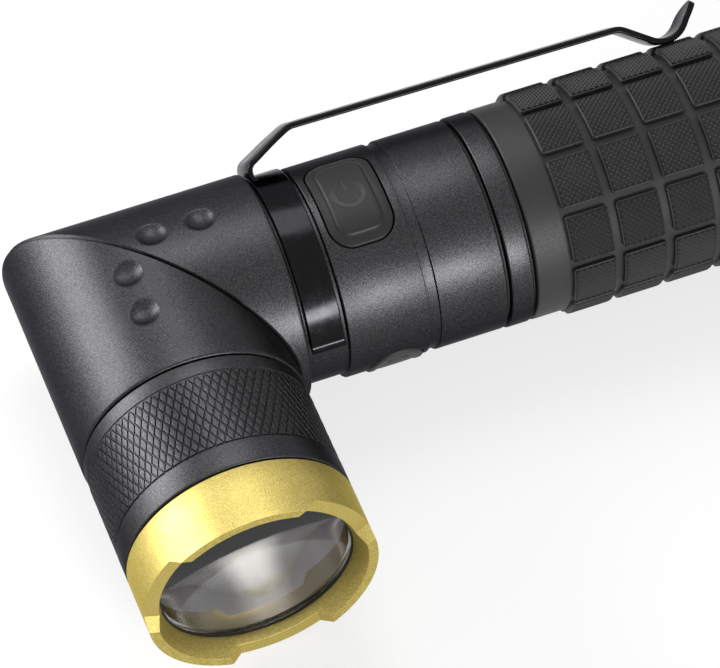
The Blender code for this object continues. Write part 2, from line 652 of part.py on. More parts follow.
def build_electronics():
    board_half = math.sqrt(HOUSING_BORE ** 2 - BOARD_TOP ** 2) - TOUCH_GAP
    board = Vector((BOARD_THICKNESS, 2 * board_half, BOARD_LENGTH))
    board_centre = BOARD_START + BOARD_LENGTH / 2
    block("switch_board", board, (BOARD_TOP - BOARD_THICKNESS / 2, 0.0, board_centre),
          HANDLE, "circuit_board")
    switch_low = BOARD_TOP + SEAL_GAP
    # The flange is curved, so it comes down first over the switch's edges.
    flange_edge = math.sqrt(KEY_FLANGE_INNER ** 2 - (SWITCH_SIZE / 2) ** 2)
    switch_top = flange_edge - BUTTON_TRAVEL - TOUCH_GAP / 2
    block("tact_switch", Vector((switch_top - switch_low, SWITCH_SIZE, SWITCH_SIZE)),
          ((switch_low + switch_top) / 2, 0.0, BUTTON_CENTRE), HANDLE, "black_key")
    cylinder("driver_board", THREAD_BORE - TOUCH_GAP, DRIVER_STATION,
             DRIVER_STATION + DRIVER_THICKNESS, HANDLE, "circuit_board", INNER_SIDES)
    wire("contact_spring",
         spring_points(CONTACT_SPRING_RADIUS, CONTACT_START, CONTACT_SPRING_LENGTH,
                       SPRING_TURNS), SPRING_WIRE, HANDLE, "nickel")


def build_charging_port():
    socket_top = PORT_RECESS_FLOOR - SEAL_GAP
    socket_low = socket_top - SOCKET_DEPTH
    socket = radial_block("charge_port", SOCKET_WIDTH, SOCKET_HEIGHT, socket_low, socket_top,
                          PORT_TURN, PORT_CENTRE, HANDLE, "nickel", corner=SOCKET_CORNER)
    mouth = radial_block("socket_mouth", SOCKET_WIDTH - 2 * SOCKET_WALL,
                         SOCKET_HEIGHT - 2 * SOCKET_WALL, socket_low + 2 * SOCKET_WALL,
                         socket_top + OVERCUT, PORT_TURN, PORT_CENTRE, HANDLE,
                         corner=SOCKET_CORNER - SOCKET_WALL)
    tongue_width = SOCKET_WIDTH - 6 * SOCKET_WALL
    tongue = radial_block("socket_tongue", tongue_width, SOCKET_TONGUE,
                          socket_low + SOCKET_WALL, socket_top - 2 * SOCKET_WALL,
                          PORT_TURN, PORT_CENTRE, HANDLE)
    combine(mouth, tongue)
    combine(socket, mouth)
    build_port_cover()


def port_hinge_radius():
    return HOUSING_RADIUS + PORT_COVER_PROUD


def port_hinge_turn():
    """Where the cover's hinge line lies round the handle."""
    half = PORT_WIDTH / 2 - TOUCH_GAP
    return PORT_TURN - math.asin(half / port_hinge_radius())


def build_port_cover():
    """The rubber flap that fills the port's recess."""
    top = port_hinge_radius()
    floor = PORT_RECESS_FLOOR + SEAL_GAP
    low_end = PORT_CENTRE - PORT_LENGTH
    high_end = PORT_CENTRE + PORT_LENGTH
    hinge_turn = port_hinge_turn()
    hinge = Vector((top * math.cos(hinge_turn), top * math.sin(hinge_turn), PORT_CENTRE))
    pivot = bpy.data.objects.new("port_cover_hinge", None)
    PART.objects.link(pivot)
    pivot.parent = HANDLE
    pivot.location = hinge
    cover = cylinder("port_cover", top, low_end, high_end, pivot, "black_rubber")
    cover.matrix_parent_inverse = Matrix.Translation(-hinge)
    gap = 2 * TOUCH_GAP
    combine(cover, radial_block("cover_outline", PORT_WIDTH - gap, PORT_LENGTH - gap,
                                floor, 2 * HEAD_RADIUS, PORT_TURN, PORT_CENTRE,
                                HANDLE, corner=PORT_LENGTH / 2 - TOUCH_GAP - SEAL_GAP),
            'INTERSECT')


# ------------------------------------------------------------ tube and grip
def build_tube():
    tail_floor = TUBE_OUTER - TAIL_SEAL_DEPTH
    tail_end = TAIL_SEAL_START + TAIL_SEAL_WIDTH
    turned("battery_tube",
           [(TUBE_OUTER - CHAMFER, TUBE_END), (TUBE_OUTER, TUBE_END - CHAMFER),
            (TUBE_OUTER, tail_end), (tail_floor, tail_end),
            (tail_floor, TAIL_SEAL_START), (TUBE_OUTER, TAIL_SEAL_START),
            (TUBE_OUTER, TUBE_START), (TUBE_BORE, TUBE_START), (TUBE_BORE, TUBE_END)],
           HANDLE, "bare_aluminium", INNER_SIDES)
    turned("tail_seal", tube_profile(tail_floor + SEAL_GAP, CAP_BORE - SEAL_GAP,
                                     TAIL_SEAL_START + SEAL_GAP, tail_end - SEAL_GAP),
           HANDLE, "black_rubber", INNER_SIDES)
    sleeve_bore = TUBE_OUTER + TOUCH_GAP
    turned("ring_seal_front", tube_profile(sleeve_bore, LINE_RADIUS,
                                           HOUSING_END + SEAL_GAP, RING_START - SEAL_GAP),
           HANDLE, "black_rubber", INNER_SIDES)
    turned("lock_ring", tube_profile(sleeve_bore, RING_RADIUS, RING_START, RING_END,
                                     CHAMFER / 2), HANDLE, "black_anodised")
    turned("ring_seal_rear", tube_profile(sleeve_bore, LINE_RADIUS,
                                          RING_END + SEAL_GAP, GRIP_START - SEAL_GAP),
           HANDLE, "black_rubber", INNER_SIDES)
    turned("battery_cell",
           [(0.0, CELL_END), (CELL_RADIUS, CELL_END),
            (CELL_RADIUS, CELL_START + CELL_NUB_HEIGHT),
            (CELL_NUB_RADIUS, CELL_START + CELL_NUB_HEIGHT),
            (CELL_NUB_RADIUS, CELL_START), (0.0, CELL_START)],
           HANDLE, "cell_wrap", INNER_SIDES)


def build_grip():
    """The rubber sleeve: rings and flutes part its rows of blocks."""
    outside = []
    for row in reversed(range(GRIP_ROWS)):
        low = FIRST_BLOCK + row * GRIP_PITCH
        high = low + GRIP_PITCH - GRIP_GROOVE_WIDTH
        outside += [(GRIP_BLOCK_RADIUS, high), (GRIP_BLOCK_RADIUS, low),
                    (GRIP_GROOVE_RADIUS, low)]
        if row:
            outside.append((GRIP_GROOVE_RADIUS, low - GRIP_GROOVE_WIDTH))
    outside[-1] = (RING_RADIUS, FIRST_BLOCK)
    sleeve_bore = TUBE_OUTER + TOUCH_GAP
    grip = turned("rubber_grip", outside + [(RING_RADIUS, GRIP_START),
                                            (sleeve_bore, GRIP_START),
                                            (sleeve_bore, GRIP_END)],
                  HANDLE, "black_rubber", GRIP_SIDES)
    length = GRIP_END - FIRST_BLOCK
    for number in range(GRIP_FLUTE_COUNT):
        turn = (number + 0.5) * math.tau / GRIP_FLUTE_COUNT
        combine(grip, radial_block(f"grip_flute_{number + 1}", GRIP_GROOVE_WIDTH,
                                   length + 2 * OVERCUT, GRIP_FLUTE_RADIUS,
                                   GRIP_FLUTE_RADIUS + 2 * OVERCUT, turn,
                                   FIRST_BLOCK + length / 2, HANDLE))


# ---------------------------------------------------------------- tail cap
def build_tail_cap():
    groove_floor = CAP_RADIUS - CAP_GROOVE_DEPTH
    groove_high = CAP_BORE_END + CAP_GROOVE_WIDTH / 2
    groove_low = groove_high - CAP_GROOVE_WIDTH
    pocket_end = CAP_BORE_END + MAGNET_THICKNESS + SEAL_GAP
    pocket_radius = MAGNET_RADIUS + SEAL_GAP
    turned("tail_cap",
           [(0.0, CAP_END), (CAP_RADIUS - 2 * CHAMFER, CAP_END),
            (CAP_RADIUS, CAP_END - 2 * CHAMFER), (CAP_RADIUS, groove_high),
            (groove_floor, groove_high), (groove_floor, groove_low),
            (CAP_RADIUS, groove_low), (CAP_RADIUS, CAP_START + CHAMFER),
            (CAP_RADIUS - CHAMFER, CAP_START), (CAP_BORE, CAP_START),
            (CAP_BORE, CAP_BORE_END), (pocket_radius, CAP_BORE_END),
            (pocket_radius, pocket_end), (0.0, pocket_end)],
           HANDLE, "black_anodised")
    cylinder("tail_magnet", MAGNET_RADIUS, CAP_BORE_END,
             CAP_BORE_END + MAGNET_THICKNESS, HANDLE, "nickel", INNER_SIDES)
    cylinder("tail_spring_seat", SEAT_RADIUS, SEAT_START,
             SEAT_START + SEAT_THICKNESS, HANDLE, "brass", INNER_SIDES)
    wire("tail_spring",
         spring_points(TAIL_SPRING_RADIUS, TAIL_SPRING_START, TAIL_SPRING_LENGTH,
                       SPRING_TURNS), SPRING_WIRE, HANDLE, "nickel")


# ------------------------------------------------------------- pocket clip
def bent_line(corners, bends, steps=4):
    """A line through corners, with each inner corner rounded to its own bend."""
    line = [corners[0]]
    for before, corner, after, radius in zip(corners, corners[1:], corners[2:], bends):
        entry = (before - corner).normalized()
        leave = (after - corner).normalized()
        half = entry.angle(leave) / 2
        reach = radius / math.tan(half)
        middle = corner + (entry + leave).normalized() * (radius / math.sin(half))
        start = corner + entry * reach - middle
        end = corner + leave * reach - middle
        for step in range(steps + 1):
            spoke = start.lerp(end, step / steps).normalized()
            line.append(middle + spoke * radius)
    return line + [corners[-1]]


def clip_line():
    """Centre line of the clip's strip as (radius, station) points."""
    half = CLIP_THICKNESS / 2
    bar = CLIP_BAR_INNER + half
    bar_low = bar - CLIP_BAR_DROP
    riser = BAND_START + half
    # The heel's arc rests on the grip, and its sides are the tangents with the
    # slopes of the fall and of the tip.
    heel_centre = GRIP_BLOCK_RADIUS + SEAL_GAP + half + CLIP_HEEL_BEND
    reach = CLIP_HEEL_BEND / math.cos((CLIP_FALL + CLIP_TIP_RISE) / 2)
    tilt = (CLIP_TIP_RISE - CLIP_FALL) / 2
    heel = Vector((heel_centre - reach * math.cos(tilt), CLIP_HEEL + reach * math.sin(tilt)))
    bar_end = heel.y - (bar_low - heel.x) / math.tan(CLIP_FALL)
    tip = heel + CLIP_TIP_LENGTH * Vector((math.sin(CLIP_TIP_RISE), math.cos(CLIP_TIP_RISE)))
    band = BAND_INNER + BAND_THICKNESS / 2
    corners = [Vector((band, riser)), Vector((band + CLIP_SHOULDER_RISE, riser)),
               Vector((bar, CLIP_BAR_START)),
               Vector((bar_low, bar_end)), heel, tip]
    return bent_line(corners, (CLIP_SHOULDER_BEND, CLIP_BEND, CLIP_BEND, CLIP_HEEL_BEND))


def build_clip():
    """A spring band in the elbow's groove that carries a bent bar."""
    line = clip_line()
    work = bmesh.new()
    points = [work.verts.new((radius, -CLIP_WIDTH, station)) for radius, station in line]
    spine = [work.edges.new(pair) for pair in zip(points, points[1:])]
    swept = bmesh.ops.extrude_edge_only(work, edges=spine)
    moved = [item for item in swept["geom"] if isinstance(item, bmesh.types.BMVert)]
    bmesh.ops.translate(work, vec=(0.0, 2 * CLIP_WIDTH, 0.0), verts=moved)
    bmesh.ops.rotate(work, cent=(0.0, 0.0, 0.0), verts=work.verts,
                     matrix=Matrix.Rotation(CLIP_TURN, 3, 'Z'))
    clip = place("pocket_clip", mesh_from(work, "pocket_clip"), CLIP, "spring_steel_black")
    thick = clip.modifiers.new("thickness", 'SOLIDIFY')
    thick.thickness = CLIP_THICKNESS
    thick.offset = 0.0
    thick.use_even_offset = True
    outline_start = BAND_START - 2 * CLIP_TIP_CORNER
    outline = None
    for name, width, outline_end in (("clip_outline", CLIP_WIDTH, line[-1].y),
                                     ("clip_root", CLIP_ROOT_WIDTH,
                                      BAND_START + CLIP_ROOT_LENGTH)):
        part = radial_block(name, width, outline_end - outline_start, BAND_INNER,
                            2 * HEAD_RADIUS, CLIP_TURN, (outline_start + outline_end) / 2,
                            CLIP, corner=CLIP_TIP_CORNER)
        if outline:
            combine(outline, part, 'UNION')
        else:
            outline = part
    combine(clip, outline, 'INTERSECT')
    combine(clip, clip_band(), 'UNION')


def clip_band():
    """The open ring of the clip: its opening lies opposite the bar."""
    outer = BAND_INNER + BAND_THICKNESS
    low = BAND_START
    high = BAND_START + BAND_WIDTH
    band = turned("clip_band", [(outer, high), (outer, low),
                                (BAND_INNER, low), (BAND_INNER, high)], CLIP)
    width = 2 * outer * math.sin(BAND_OPENING / 2)
    combine(band, radial_block("band_opening", width, 2 * BAND_WIDTH, SPIGOT_BORE,
                               HEAD_RADIUS, CLIP_TURN + math.pi,
                               BAND_START + BAND_WIDTH / 2, CLIP))
    return band


# --------------------------------------------------------------- lamp head
def build_lamp_housing():
    outside = [(BEZEL_SPIGOT_RADIUS, HEAD_NOSE), (BEZEL_SPIGOT_RADIUS, HEAD_FACE),
               (HEAD_RADIUS - CHAMFER, HEAD_FACE), (HEAD_RADIUS, HEAD_FACE - CHAMFER),
               (HEAD_RADIUS, KNURL_END), (KNURL_RADIUS, KNURL_END),
               (KNURL_RADIUS, KNURL_START), (HEAD_NECK_RADIUS, KNURL_START),
               (HEAD_NECK_RADIUS, HEAD_START)]
    outside += spigot_outline(HEAD_START)
    inside = [(SPIGOT_BORE, SPIGOT_TIP), (SPIGOT_BORE, HEAT_SINK_REAR - TOUCH_GAP),
              (HEAT_SINK_RADIUS + TOUCH_GAP, HEAT_SINK_REAR - TOUCH_GAP),
              (HEAT_SINK_RADIUS + TOUCH_GAP, HEAT_SINK_FRONT),
              (LENS_CAVITY, HEAT_SINK_FRONT), (LENS_CAVITY, HEAD_NOSE)]
    turned("lamp_housing", outside + inside, HEAD, "black_anodised")
    face_seal("head_seal", HEAD_START, HEAD)


def build_bezel():
    bezel = turned("strike_bezel",
                   [(BEZEL_MOUTH_RADIUS, BEZEL_END), (HEAD_RADIUS - CHAMFER, BEZEL_END),
                    (HEAD_RADIUS, BEZEL_END - CHAMFER), (HEAD_RADIUS, BEZEL_START),
                    (BEZEL_SPIGOT_RADIUS + TOUCH_GAP, BEZEL_START),
                    (BEZEL_SPIGOT_RADIUS + TOUCH_GAP, HEAD_NOSE + TOUCH_GAP),
                    (LENS_CAVITY, HEAD_NOSE + TOUCH_GAP), (LENS_CAVITY, LIP_START),
                    (BEZEL_LIP_RADIUS, LIP_START),
                    (BEZEL_LIP_RADIUS, LIP_START + BEZEL_LIP_THICKNESS)],
                   HEAD, "gold_anodised")
    for number in range(NOTCH_COUNT):
        turn = NOTCH_TURN + number * math.tau / NOTCH_COUNT
        combine(bezel, notch_cutter(f"notch_{number + 1}", turn))


def notch_cutter(name, turn):
    """A wedge with a flat floor that opens towards the rim."""
    floor = BEZEL_END - NOTCH_DEPTH
    height = NOTCH_DEPTH + OVERCUT
    slope = (NOTCH_MOUTH - NOTCH_FLOOR) / NOTCH_DEPTH
    top_width = NOTCH_FLOOR + slope * height
    inner = REFLECTOR_MOUTH / 2
    outer = HEAD_RADIUS + OVERCUT
    work = bmesh.new()
    bmesh.ops.create_cube(work, size=1.0)
    bmesh.ops.scale(work, vec=(outer - inner, NOTCH_FLOOR, height), verts=work.verts)
    rim = [vert for vert in work.verts if vert.co.z > 0.0]
    bmesh.ops.scale(work, vec=(1.0, top_width / NOTCH_FLOOR, 1.0), verts=rim)
    bmesh.ops.translate(work, vec=((inner + outer) / 2, 0.0, floor + height / 2),
                        verts=work.verts)
    bmesh.ops.rotate(work, cent=(0.0, 0.0, 0.0), verts=work.verts,
                     matrix=Matrix.Rotation(turn, 3, 'Z'))
    return place(name, mesh_from(work, name, smooth=False), HEAD)


def build_optics():
    cylinder("front_lens", LENS_RADIUS, LENS_BACK, LENS_FRONT, HEAD, "clear_glass")
    turned("lens_seal", tube_profile(LENS_SEAL_BORE, LENS_CAVITY - SEAL_GAP, SEAL_START,
                                     SEAL_START + LENS_SEAL_THICKNESS),
           HEAD, "black_rubber")
    build_reflector()
    block("led_package", Vector((LED_SIZE, LED_SIZE, LED_THICKNESS)),
          (0.0, 0.0, LED_STATION + LED_THICKNESS / 2), HEAD, "phosphor")
    turned("led_insulator",
           tube_profile(REFLECTOR_BASE, INSULATOR_RADIUS, INSULATOR_STATION,
                        INSULATOR_STATION + INSULATOR_THICKNESS),
           HEAD, "white_ceramic", SMALL_SIDES)


def build_reflector():
    """A parabola of revolution from the emitter to the window."""
    flange_low = REFLECTOR_FRONT - REFLECTOR_FLANGE
    growth = (REFLECTOR_MOUTH ** 2 - REFLECTOR_BASE ** 2) / (REFLECTOR_FRONT - REFLECTOR_REAR)
    inside = []
    for step in range(REFLECTOR_STEPS + 1):
        share = (step / REFLECTOR_STEPS) ** 2
        station = REFLECTOR_REAR + share * (REFLECTOR_FRONT - REFLECTOR_REAR)
        radius = math.sqrt(REFLECTOR_BASE ** 2 + growth * (station - REFLECTOR_REAR))
        inside.append((radius, station))
    outside = [(radius + REFLECTOR_WALL, station) for radius, station in reversed(inside)
               if station < flange_low - REFLECTOR_WALL]
    flange = [(LENS_RADIUS, REFLECTOR_FRONT), (LENS_RADIUS, flange_low),
              (REFLECTOR_MOUTH + REFLECTOR_WALL / 2, flange_low)]
    turned("reflector", flange + outside + inside, HEAD, "mirror_silver", INNER_SIDES)


def build_led_mount():
    board_top = LED_BOARD_STATION + LED_BOARD_THICKNESS
    board = cylinder("led_board", LED_BOARD_RADIUS, LED_BOARD_STATION, board_top, HEAD,
                     "white_ceramic", INNER_SIDES)
    sink = cylinder("heat_sink", HEAT_SINK_RADIUS, HEAT_SINK_REAR, HEAT_SINK_FRONT, HEAD,
                    "bare_aluminium", INNER_SIDES)
    head_low = board_top + SEAL_GAP
    head_top = head_low + SCREW_HEAD_THICKNESS
    shank_end = head_low - SCREW_LENGTH
    for number, side in enumerate((1, -1)):
        name = f"led_board_screw_{number + 1}"
        centre = (side * SCREW_CIRCLE, 0.0, 0.0)
        screw = turned(name, [(0.0, head_top), (SCREW_HEAD_RADIUS, head_top),
                              (SCREW_HEAD_RADIUS, head_low), (SCREW_RADIUS, head_low),
                              (SCREW_RADIUS, shank_end), (0.0, shank_end)],
                       HEAD, "steel", SMALL_SIDES)
        screw.location = centre
        hole = cylinder(name + "_hole", SCREW_RADIUS + SEAL_GAP, shank_end - SEAL_GAP,
                        board_top + OVERCUT, HEAD, sides=SMALL_SIDES)
        hole.location = centre
        combine(board, hole)
        combine(sink, hole)


def build_leads():
    """The two wires between emitter and driver, parted at the turning joint."""
    slant = Vector((0.0, math.sqrt(0.5), math.sqrt(0.5)))
    exit_point = PLATE_FACE + WASHER_THICKNESS + NUT_THICKNESS + 2 * CHAMFER
    head_stops = [(0.0, 0.0, HEAT_SINK_REAR - TOUCH_GAP),
                  (0.0, 0.0, HEAT_SINK_REAR - 3 * LEAD_RADIUS),
                  (0.0, SPINDLE_BORE, SPINDLE_FLANGE + 2 * LEAD_RADIUS),
                  slant * SPINDLE_FLANGE, (0.0, 0.0, 0.0), -slant * exit_point]
    wire("lamp_lead", smooth_route(head_stops), LEAD_RADIUS, HEAD, "wire_red")
    handle_slant = Vector((0.0, -math.sqrt(0.5), math.sqrt(0.5)))
    start = handle_slant * (exit_point + TOUCH_GAP)
    handle_stops = [start, handle_slant * (exit_point + 3 * LEAD_RADIUS),
                    (0.0, -SPINDLE_BORE, HANDLE_ELBOW_END),
                    (0.0, 0.0, BUTTON_CENTRE), (0.0, 0.0, DRIVER_STATION - TOUCH_GAP)]
    wire("driver_lead", smooth_route(handle_stops), LEAD_RADIUS, HANDLE, "wire_red")


clear_scene()
PART = new_collection("firefighter_flashlight")
CUTTERS = new_collection("cutters")
SHADES = {name: new_material(name) for name in MATERIALS}

HANDLE = new_frame("handle_axis", ELBOW_CENTRE, (1.0, 0.0, 0.0))
HEAD = new_frame("head_axis", ELBOW_CENTRE, (0.0, -1.0, 0.0))
SWIVEL = new_frame("swivel_axis", ELBOW_CENTRE, (1.0, 1.0, 0.0))
CLIP = new_frame("clip_axis", ELBOW_CENTRE, (1.0, 0.0, 0.0))
BUTTON = new_frame("button_axis", ELBOW_CENTRE, (1.0, 0.0, 0.0))
POST = bpy.data.objects.new("upright_axis", None)
PART.objects.link(POST)
POST.location = ELBOW_CENTRE
bpy.context.view_layer.update()

build_elbow()
build_housing()
build_button()
build_electronics()
build_charging_port()
build_tube()
build_grip()
build_tail_cap()
build_clip()
build_lamp_housing()
build_bezel()
build_optics()
build_led_mount()
build_leads()
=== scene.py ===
"""Looks of the right-angle firefighter flashlight.

Every visible piece is turned, swept or bent in its own axis frame, in
millimetres: local Z runs forward along the axis, local X points up, and a
station is a distance from the elbow's centre.  A turn is an angle round the
axis, counted from up.
"""

import json
import math

import bmesh
import bpy
from mathutils import Matrix, Vector


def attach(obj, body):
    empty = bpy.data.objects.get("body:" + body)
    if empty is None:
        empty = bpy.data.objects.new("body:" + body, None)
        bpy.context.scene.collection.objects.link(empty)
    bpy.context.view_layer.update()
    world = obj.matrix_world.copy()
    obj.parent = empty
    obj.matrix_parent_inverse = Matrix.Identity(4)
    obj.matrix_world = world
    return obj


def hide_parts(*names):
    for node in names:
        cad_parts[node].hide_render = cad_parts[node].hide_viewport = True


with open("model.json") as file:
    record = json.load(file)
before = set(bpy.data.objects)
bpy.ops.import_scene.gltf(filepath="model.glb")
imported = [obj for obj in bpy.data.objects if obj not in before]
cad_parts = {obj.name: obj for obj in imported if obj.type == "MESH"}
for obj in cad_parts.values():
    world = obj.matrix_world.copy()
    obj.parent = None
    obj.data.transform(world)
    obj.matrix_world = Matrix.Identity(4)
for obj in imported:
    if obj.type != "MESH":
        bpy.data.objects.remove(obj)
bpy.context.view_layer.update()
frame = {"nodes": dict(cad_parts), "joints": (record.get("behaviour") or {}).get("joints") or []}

ELBOW = Vector(next(joint["pos_m"] for joint in frame["joints"]
                    if joint["name"] == "head_swivel"))
SIDES = 256
UP = Vector((0.0, 0.0, 1.0))


def axis_frame(forward):
    """Millimetres in a piece's own axes to metres in the shared frame."""
    forward = Vector(forward).normalized()
    turn = Matrix((UP, forward.cross(UP), forward)).transposed().to_4x4()
    return Matrix.Translation(ELBOW) @ turn @ Matrix.Scale(0.001, 4)


HANDLE = axis_frame((1.0, 0.0, 0.0))
HEAD = axis_frame((0.0, -1.0, 0.0))


# ---------------------------------------------------------------- shader maths
class Level:
    """A number or colour in a shader; arithmetic on it adds Math nodes."""

    def __init__(self, nodes, socket):
        self.nodes = nodes
        self.socket = socket

    def other(self, name):
        """Another output of the same node."""
        return Level(self.nodes, self.socket.node.outputs[name])

    def maths(self, operation, *others):
        sockets = dict(enumerate((self, *others)))
        return self.nodes.node("Math", {"operation": operation}, sockets)

    def __add__(self, other):
        return self.maths('ADD', other)

    def __sub__(self, other):
        return self.maths('SUBTRACT', other)

    def __rsub__(self, other):
        return self.nodes.node("Math", {"operation": 'SUBTRACT'}, {0: other, 1: self})

    def __mul__(self, other):
        return self.maths('MULTIPLY', other)

    __radd__ = __add__
    __rmul__ = __mul__

    def __pow__(self, other):
        return self.maths('POWER', other)


class Nodes:
    """A node tree that is filled through one method."""

    def __init__(self, owner):
        owner.use_nodes = True
        self.tree = owner.node_tree
        self.tree.nodes.clear()

    def node(self, kind, settings=None, sockets=None, out=0):
        item = self.tree.nodes.new("ShaderNode" + kind)
        for key, value in (settings or {}).items():
            setattr(item, key, value)
        for key, value in (sockets or {}).items():
            if isinstance(value, Level):
                self.tree.links.new(value.socket, item.inputs[key])
            else:
                item.inputs[key].default_value = value
        return Level(self, item.outputs[out]) if item.outputs else None

    def seen_rays(self):
        """One where the camera sees a place, also in metal or through glass."""
        camera_ray = self.node("LightPath", out="Is Camera Ray")
        seen = camera_ray.maths('MAXIMUM', camera_ray.other("Is Glossy Ray"))
        return seen.maths('MAXIMUM', camera_ray.other("Is Transmission Ray"))


class Finish(Nodes):
    """One material, with the few node patterns that the pieces share."""

    def __init__(self, name):
        self.material = bpy.data.materials.new(name)
        super().__init__(self.material)
        self.spot = self.node("TexCoord", out="Object")

    def noise(self, size, detail=2.0, roughness=0.5):
        """Noise whose blobs are about size millimetres wide, from 0 to 1."""
        return self.node("TexNoise", None, {"Vector": self.spot,
                                            "Scale": 1000.0 / size, "Detail": detail,
                                            "Roughness": roughness})

    def millimetres_from(self, centre):
        """The spot's X, Y and Z in millimetres from a centre."""
        shifted = self.node("Mapping", {"vector_type": 'POINT'},
                            {"Vector": self.spot, "Location": tuple(-v for v in centre)})
        scaled = self.node("Mapping", {"vector_type": 'POINT'},
                           {"Vector": shifted, "Scale": (1000.0, 1000.0, 1000.0)})
        along = self.node("SeparateXYZ", None, {"Vector": scaled})
        return along, along.other(1), along.other(2)

    def fade(self, level, low, high, start=0.0, end=1.0):
        return self.node("MapRange", {"clamp": True, "interpolation_type": 'SMOOTHSTEP'},
                         {"Value": level, "From Min": low, "From Max": high,
                          "To Min": start, "To Max": end})

    def blend(self, share, first, second):
        """A colour between two colours."""
        return self.node("Mix", {"data_type": 'RGBA'},
                         {"Factor": share, "A": first, "B": second}, out=2)

    def bump(self, height, depth):
        """Depth is the height of the bumps in millimetres."""
        return self.node("Bump", None, {"Height": height, "Distance": depth * 0.001,
                                        "Strength": 1.0})

    def coat(self, colour, roughness, metallic=0.0, normal=None, **uniform):
        """The finished shader; uniform names use _ for a space."""
        sockets = {"Base Color": colour, "Roughness": roughness, "Metallic": metallic}
        if normal:
            sockets["Normal"] = normal
        for name, value in uniform.items():
            sockets[name.replace("_", " ")] = value
        shader = self.node("BsdfPrincipled", None, sockets)
        self.node("OutputMaterial", None, {"Surface": shader})
        return self.material


def rgb(red, green, blue):
    return (red, green, blue, 1.0)


def blasted_black(name, level, roughness=0.40):
    """Anodised aluminium, bead blasted to a fine sparkle."""
    finish = Finish(name)
    grain = finish.noise(0.15, detail=3.0)
    cloud = finish.noise(9.0)
    dark = rgb(level * 0.64, level * 0.64, level * 0.69)
    light = rgb(level * 1.70, level * 1.68, level * 1.76)
    colour = finish.blend(finish.fade(grain, 0.38, 0.68), dark, light)
    rough = finish.fade(grain * 0.6 + cloud * 0.4, 0.3, 0.7,
                        roughness - 0.05, roughness + 0.06)
    return finish.coat(colour, rough, 1.0, finish.bump(grain, 0.018),
                       Specular_Tint=rgb(0.42, 0.42, 0.44))


def satin_gold(name):
    """Gold anodised aluminium with a fine satin grain."""
    finish = Finish(name)
    grain = finish.noise(0.14, detail=3.0)
    cloud = finish.noise(7.0)
    colour = finish.blend(finish.fade(grain, 0.36, 0.62),
                          rgb(0.30, 0.235, 0.055), rgb(0.53, 0.435, 0.155))
    rough = finish.fade(grain * 0.5 + cloud * 0.5, 0.3, 0.7, 0.42, 0.52)
    return finish.coat(colour, rough, 0.92, finish.bump(grain, 0.024),
                       Specular_Tint=rgb(0.70, 0.62, 0.30))


def spring_black(name):
    """Hard glossy black coat on spring steel."""
    finish = Finish(name)
    ripple = finish.noise(1.6)
    dust = finish.fade(finish.noise(0.22, detail=4.0), 0.55, 0.75)
    colour = finish.blend(dust, rgb(0.012, 0.012, 0.013), rgb(0.022, 0.022, 0.023))
    rough = finish.fade(ripple, 0.3, 0.7, 0.15, 0.22) + dust * 0.10
    return finish.coat(colour, rough, 1.0, finish.bump(ripple, 0.004),
                       Specular_Tint=rgb(0.55, 0.55, 0.57))


def rubber(name, level=0.016, roughness=0.52, pit=0.02):
    """Matt black rubber with a fine tooth."""
    finish = Finish(name)
    grain = finish.noise(0.20, detail=4.0, roughness=0.6)
    cloud = finish.noise(5.0)
    colour = finish.blend(finish.fade(cloud * 0.5 + grain * 0.5, 0.35, 0.65),
                          rgb(level * 0.82, level * 0.82, level * 0.84),
                          rgb(level * 1.18, level * 1.16, level * 1.20))
    rough = finish.fade(grain, 0.3, 0.7, roughness - 0.07, roughness + 0.08)
    return finish.coat(colour, rough, 0.0, finish.bump(grain, pit), Specular_IOR_Level=0.30)


def turned_metal(name, colour, roughness=0.30, metallic=1.0, grain=0.3, pit=0.006):
    """Bare or plated metal with a slightly uneven shine."""
    finish = Finish(name)
    fine = finish.noise(grain, detail=3.0)
    cloud = finish.noise(grain * 18.0)
    shade = finish.blend(finish.fade(fine * 0.6 + cloud * 0.4, 0.35, 0.65),
                         rgb(*(v * 0.86 for v in colour)),
                         rgb(*(min(v * 1.08, 1.0) for v in colour)))
    rough = finish.fade(fine, 0.3, 0.7, roughness * 0.8, roughness * 1.25)
    return finish.coat(shade, rough, metallic, finish.bump(fine, pit))


def moulded(name, colour, roughness=0.45, grain=0.35, pit=0.01):
    """Moulded plastic, lacquer or ceramic."""
    return turned_metal(name, colour, roughness, 0.0, grain, pit)


def glass(name):
    """The window: clear, with a faint variation in its polish."""
    finish = Finish(name)
    polish = finish.noise(6.0)
    rough = finish.fade(polish, 0.3, 0.7, 0.0, 0.02)
    return finish.coat(rgb(0.96, 0.98, 0.98), rough, 0.0, Transmission_Weight=1.0, IOR=1.46,
                       Specular_IOR_Level=0.12)


PAINTED_STREAK_TURN = 0.17             # of the painted reflection's bright streak, from straight down


def mirror(name):
    """Vacuum metallised reflector: faint orange peel, with a painted reflection: a bright streak
    near the bottom, painted dark reflection beside it and grey silvering further round.
    """
    finish = Finish(name)
    peel = finish.noise(1.1)
    rough = finish.fade(peel, 0.3, 0.7, 0.10, 0.16)
    across, _, up = finish.millimetres_from(ELBOW)
    turn = (across.maths('ARCTAN2', up * -1.0) - PAINTED_STREAK_TURN).maths('ABSOLUTE')
    grey = finish.blend(peel, rgb(0.36, 0.335, 0.335), rgb(0.46, 0.43, 0.425))
    # Painted dark reflection: the silvering is darkened near the streak and plain grey further
    # round.
    shade = finish.fade(turn, 0.55, 1.15)
    colour = finish.blend(shade, rgb(0.155, 0.138, 0.145), grey)
    # Painted highlight: a bright reflected streak painted into the colour.
    painted_streak = finish.fade(turn, 0.36, 0.05)
    colour = finish.blend(painted_streak, colour, rgb(0.95, 0.90, 0.84))
    return finish.coat(colour, rough, 1.0, finish.bump(peel, 0.003))


SIGN_RADIUS = 2.35


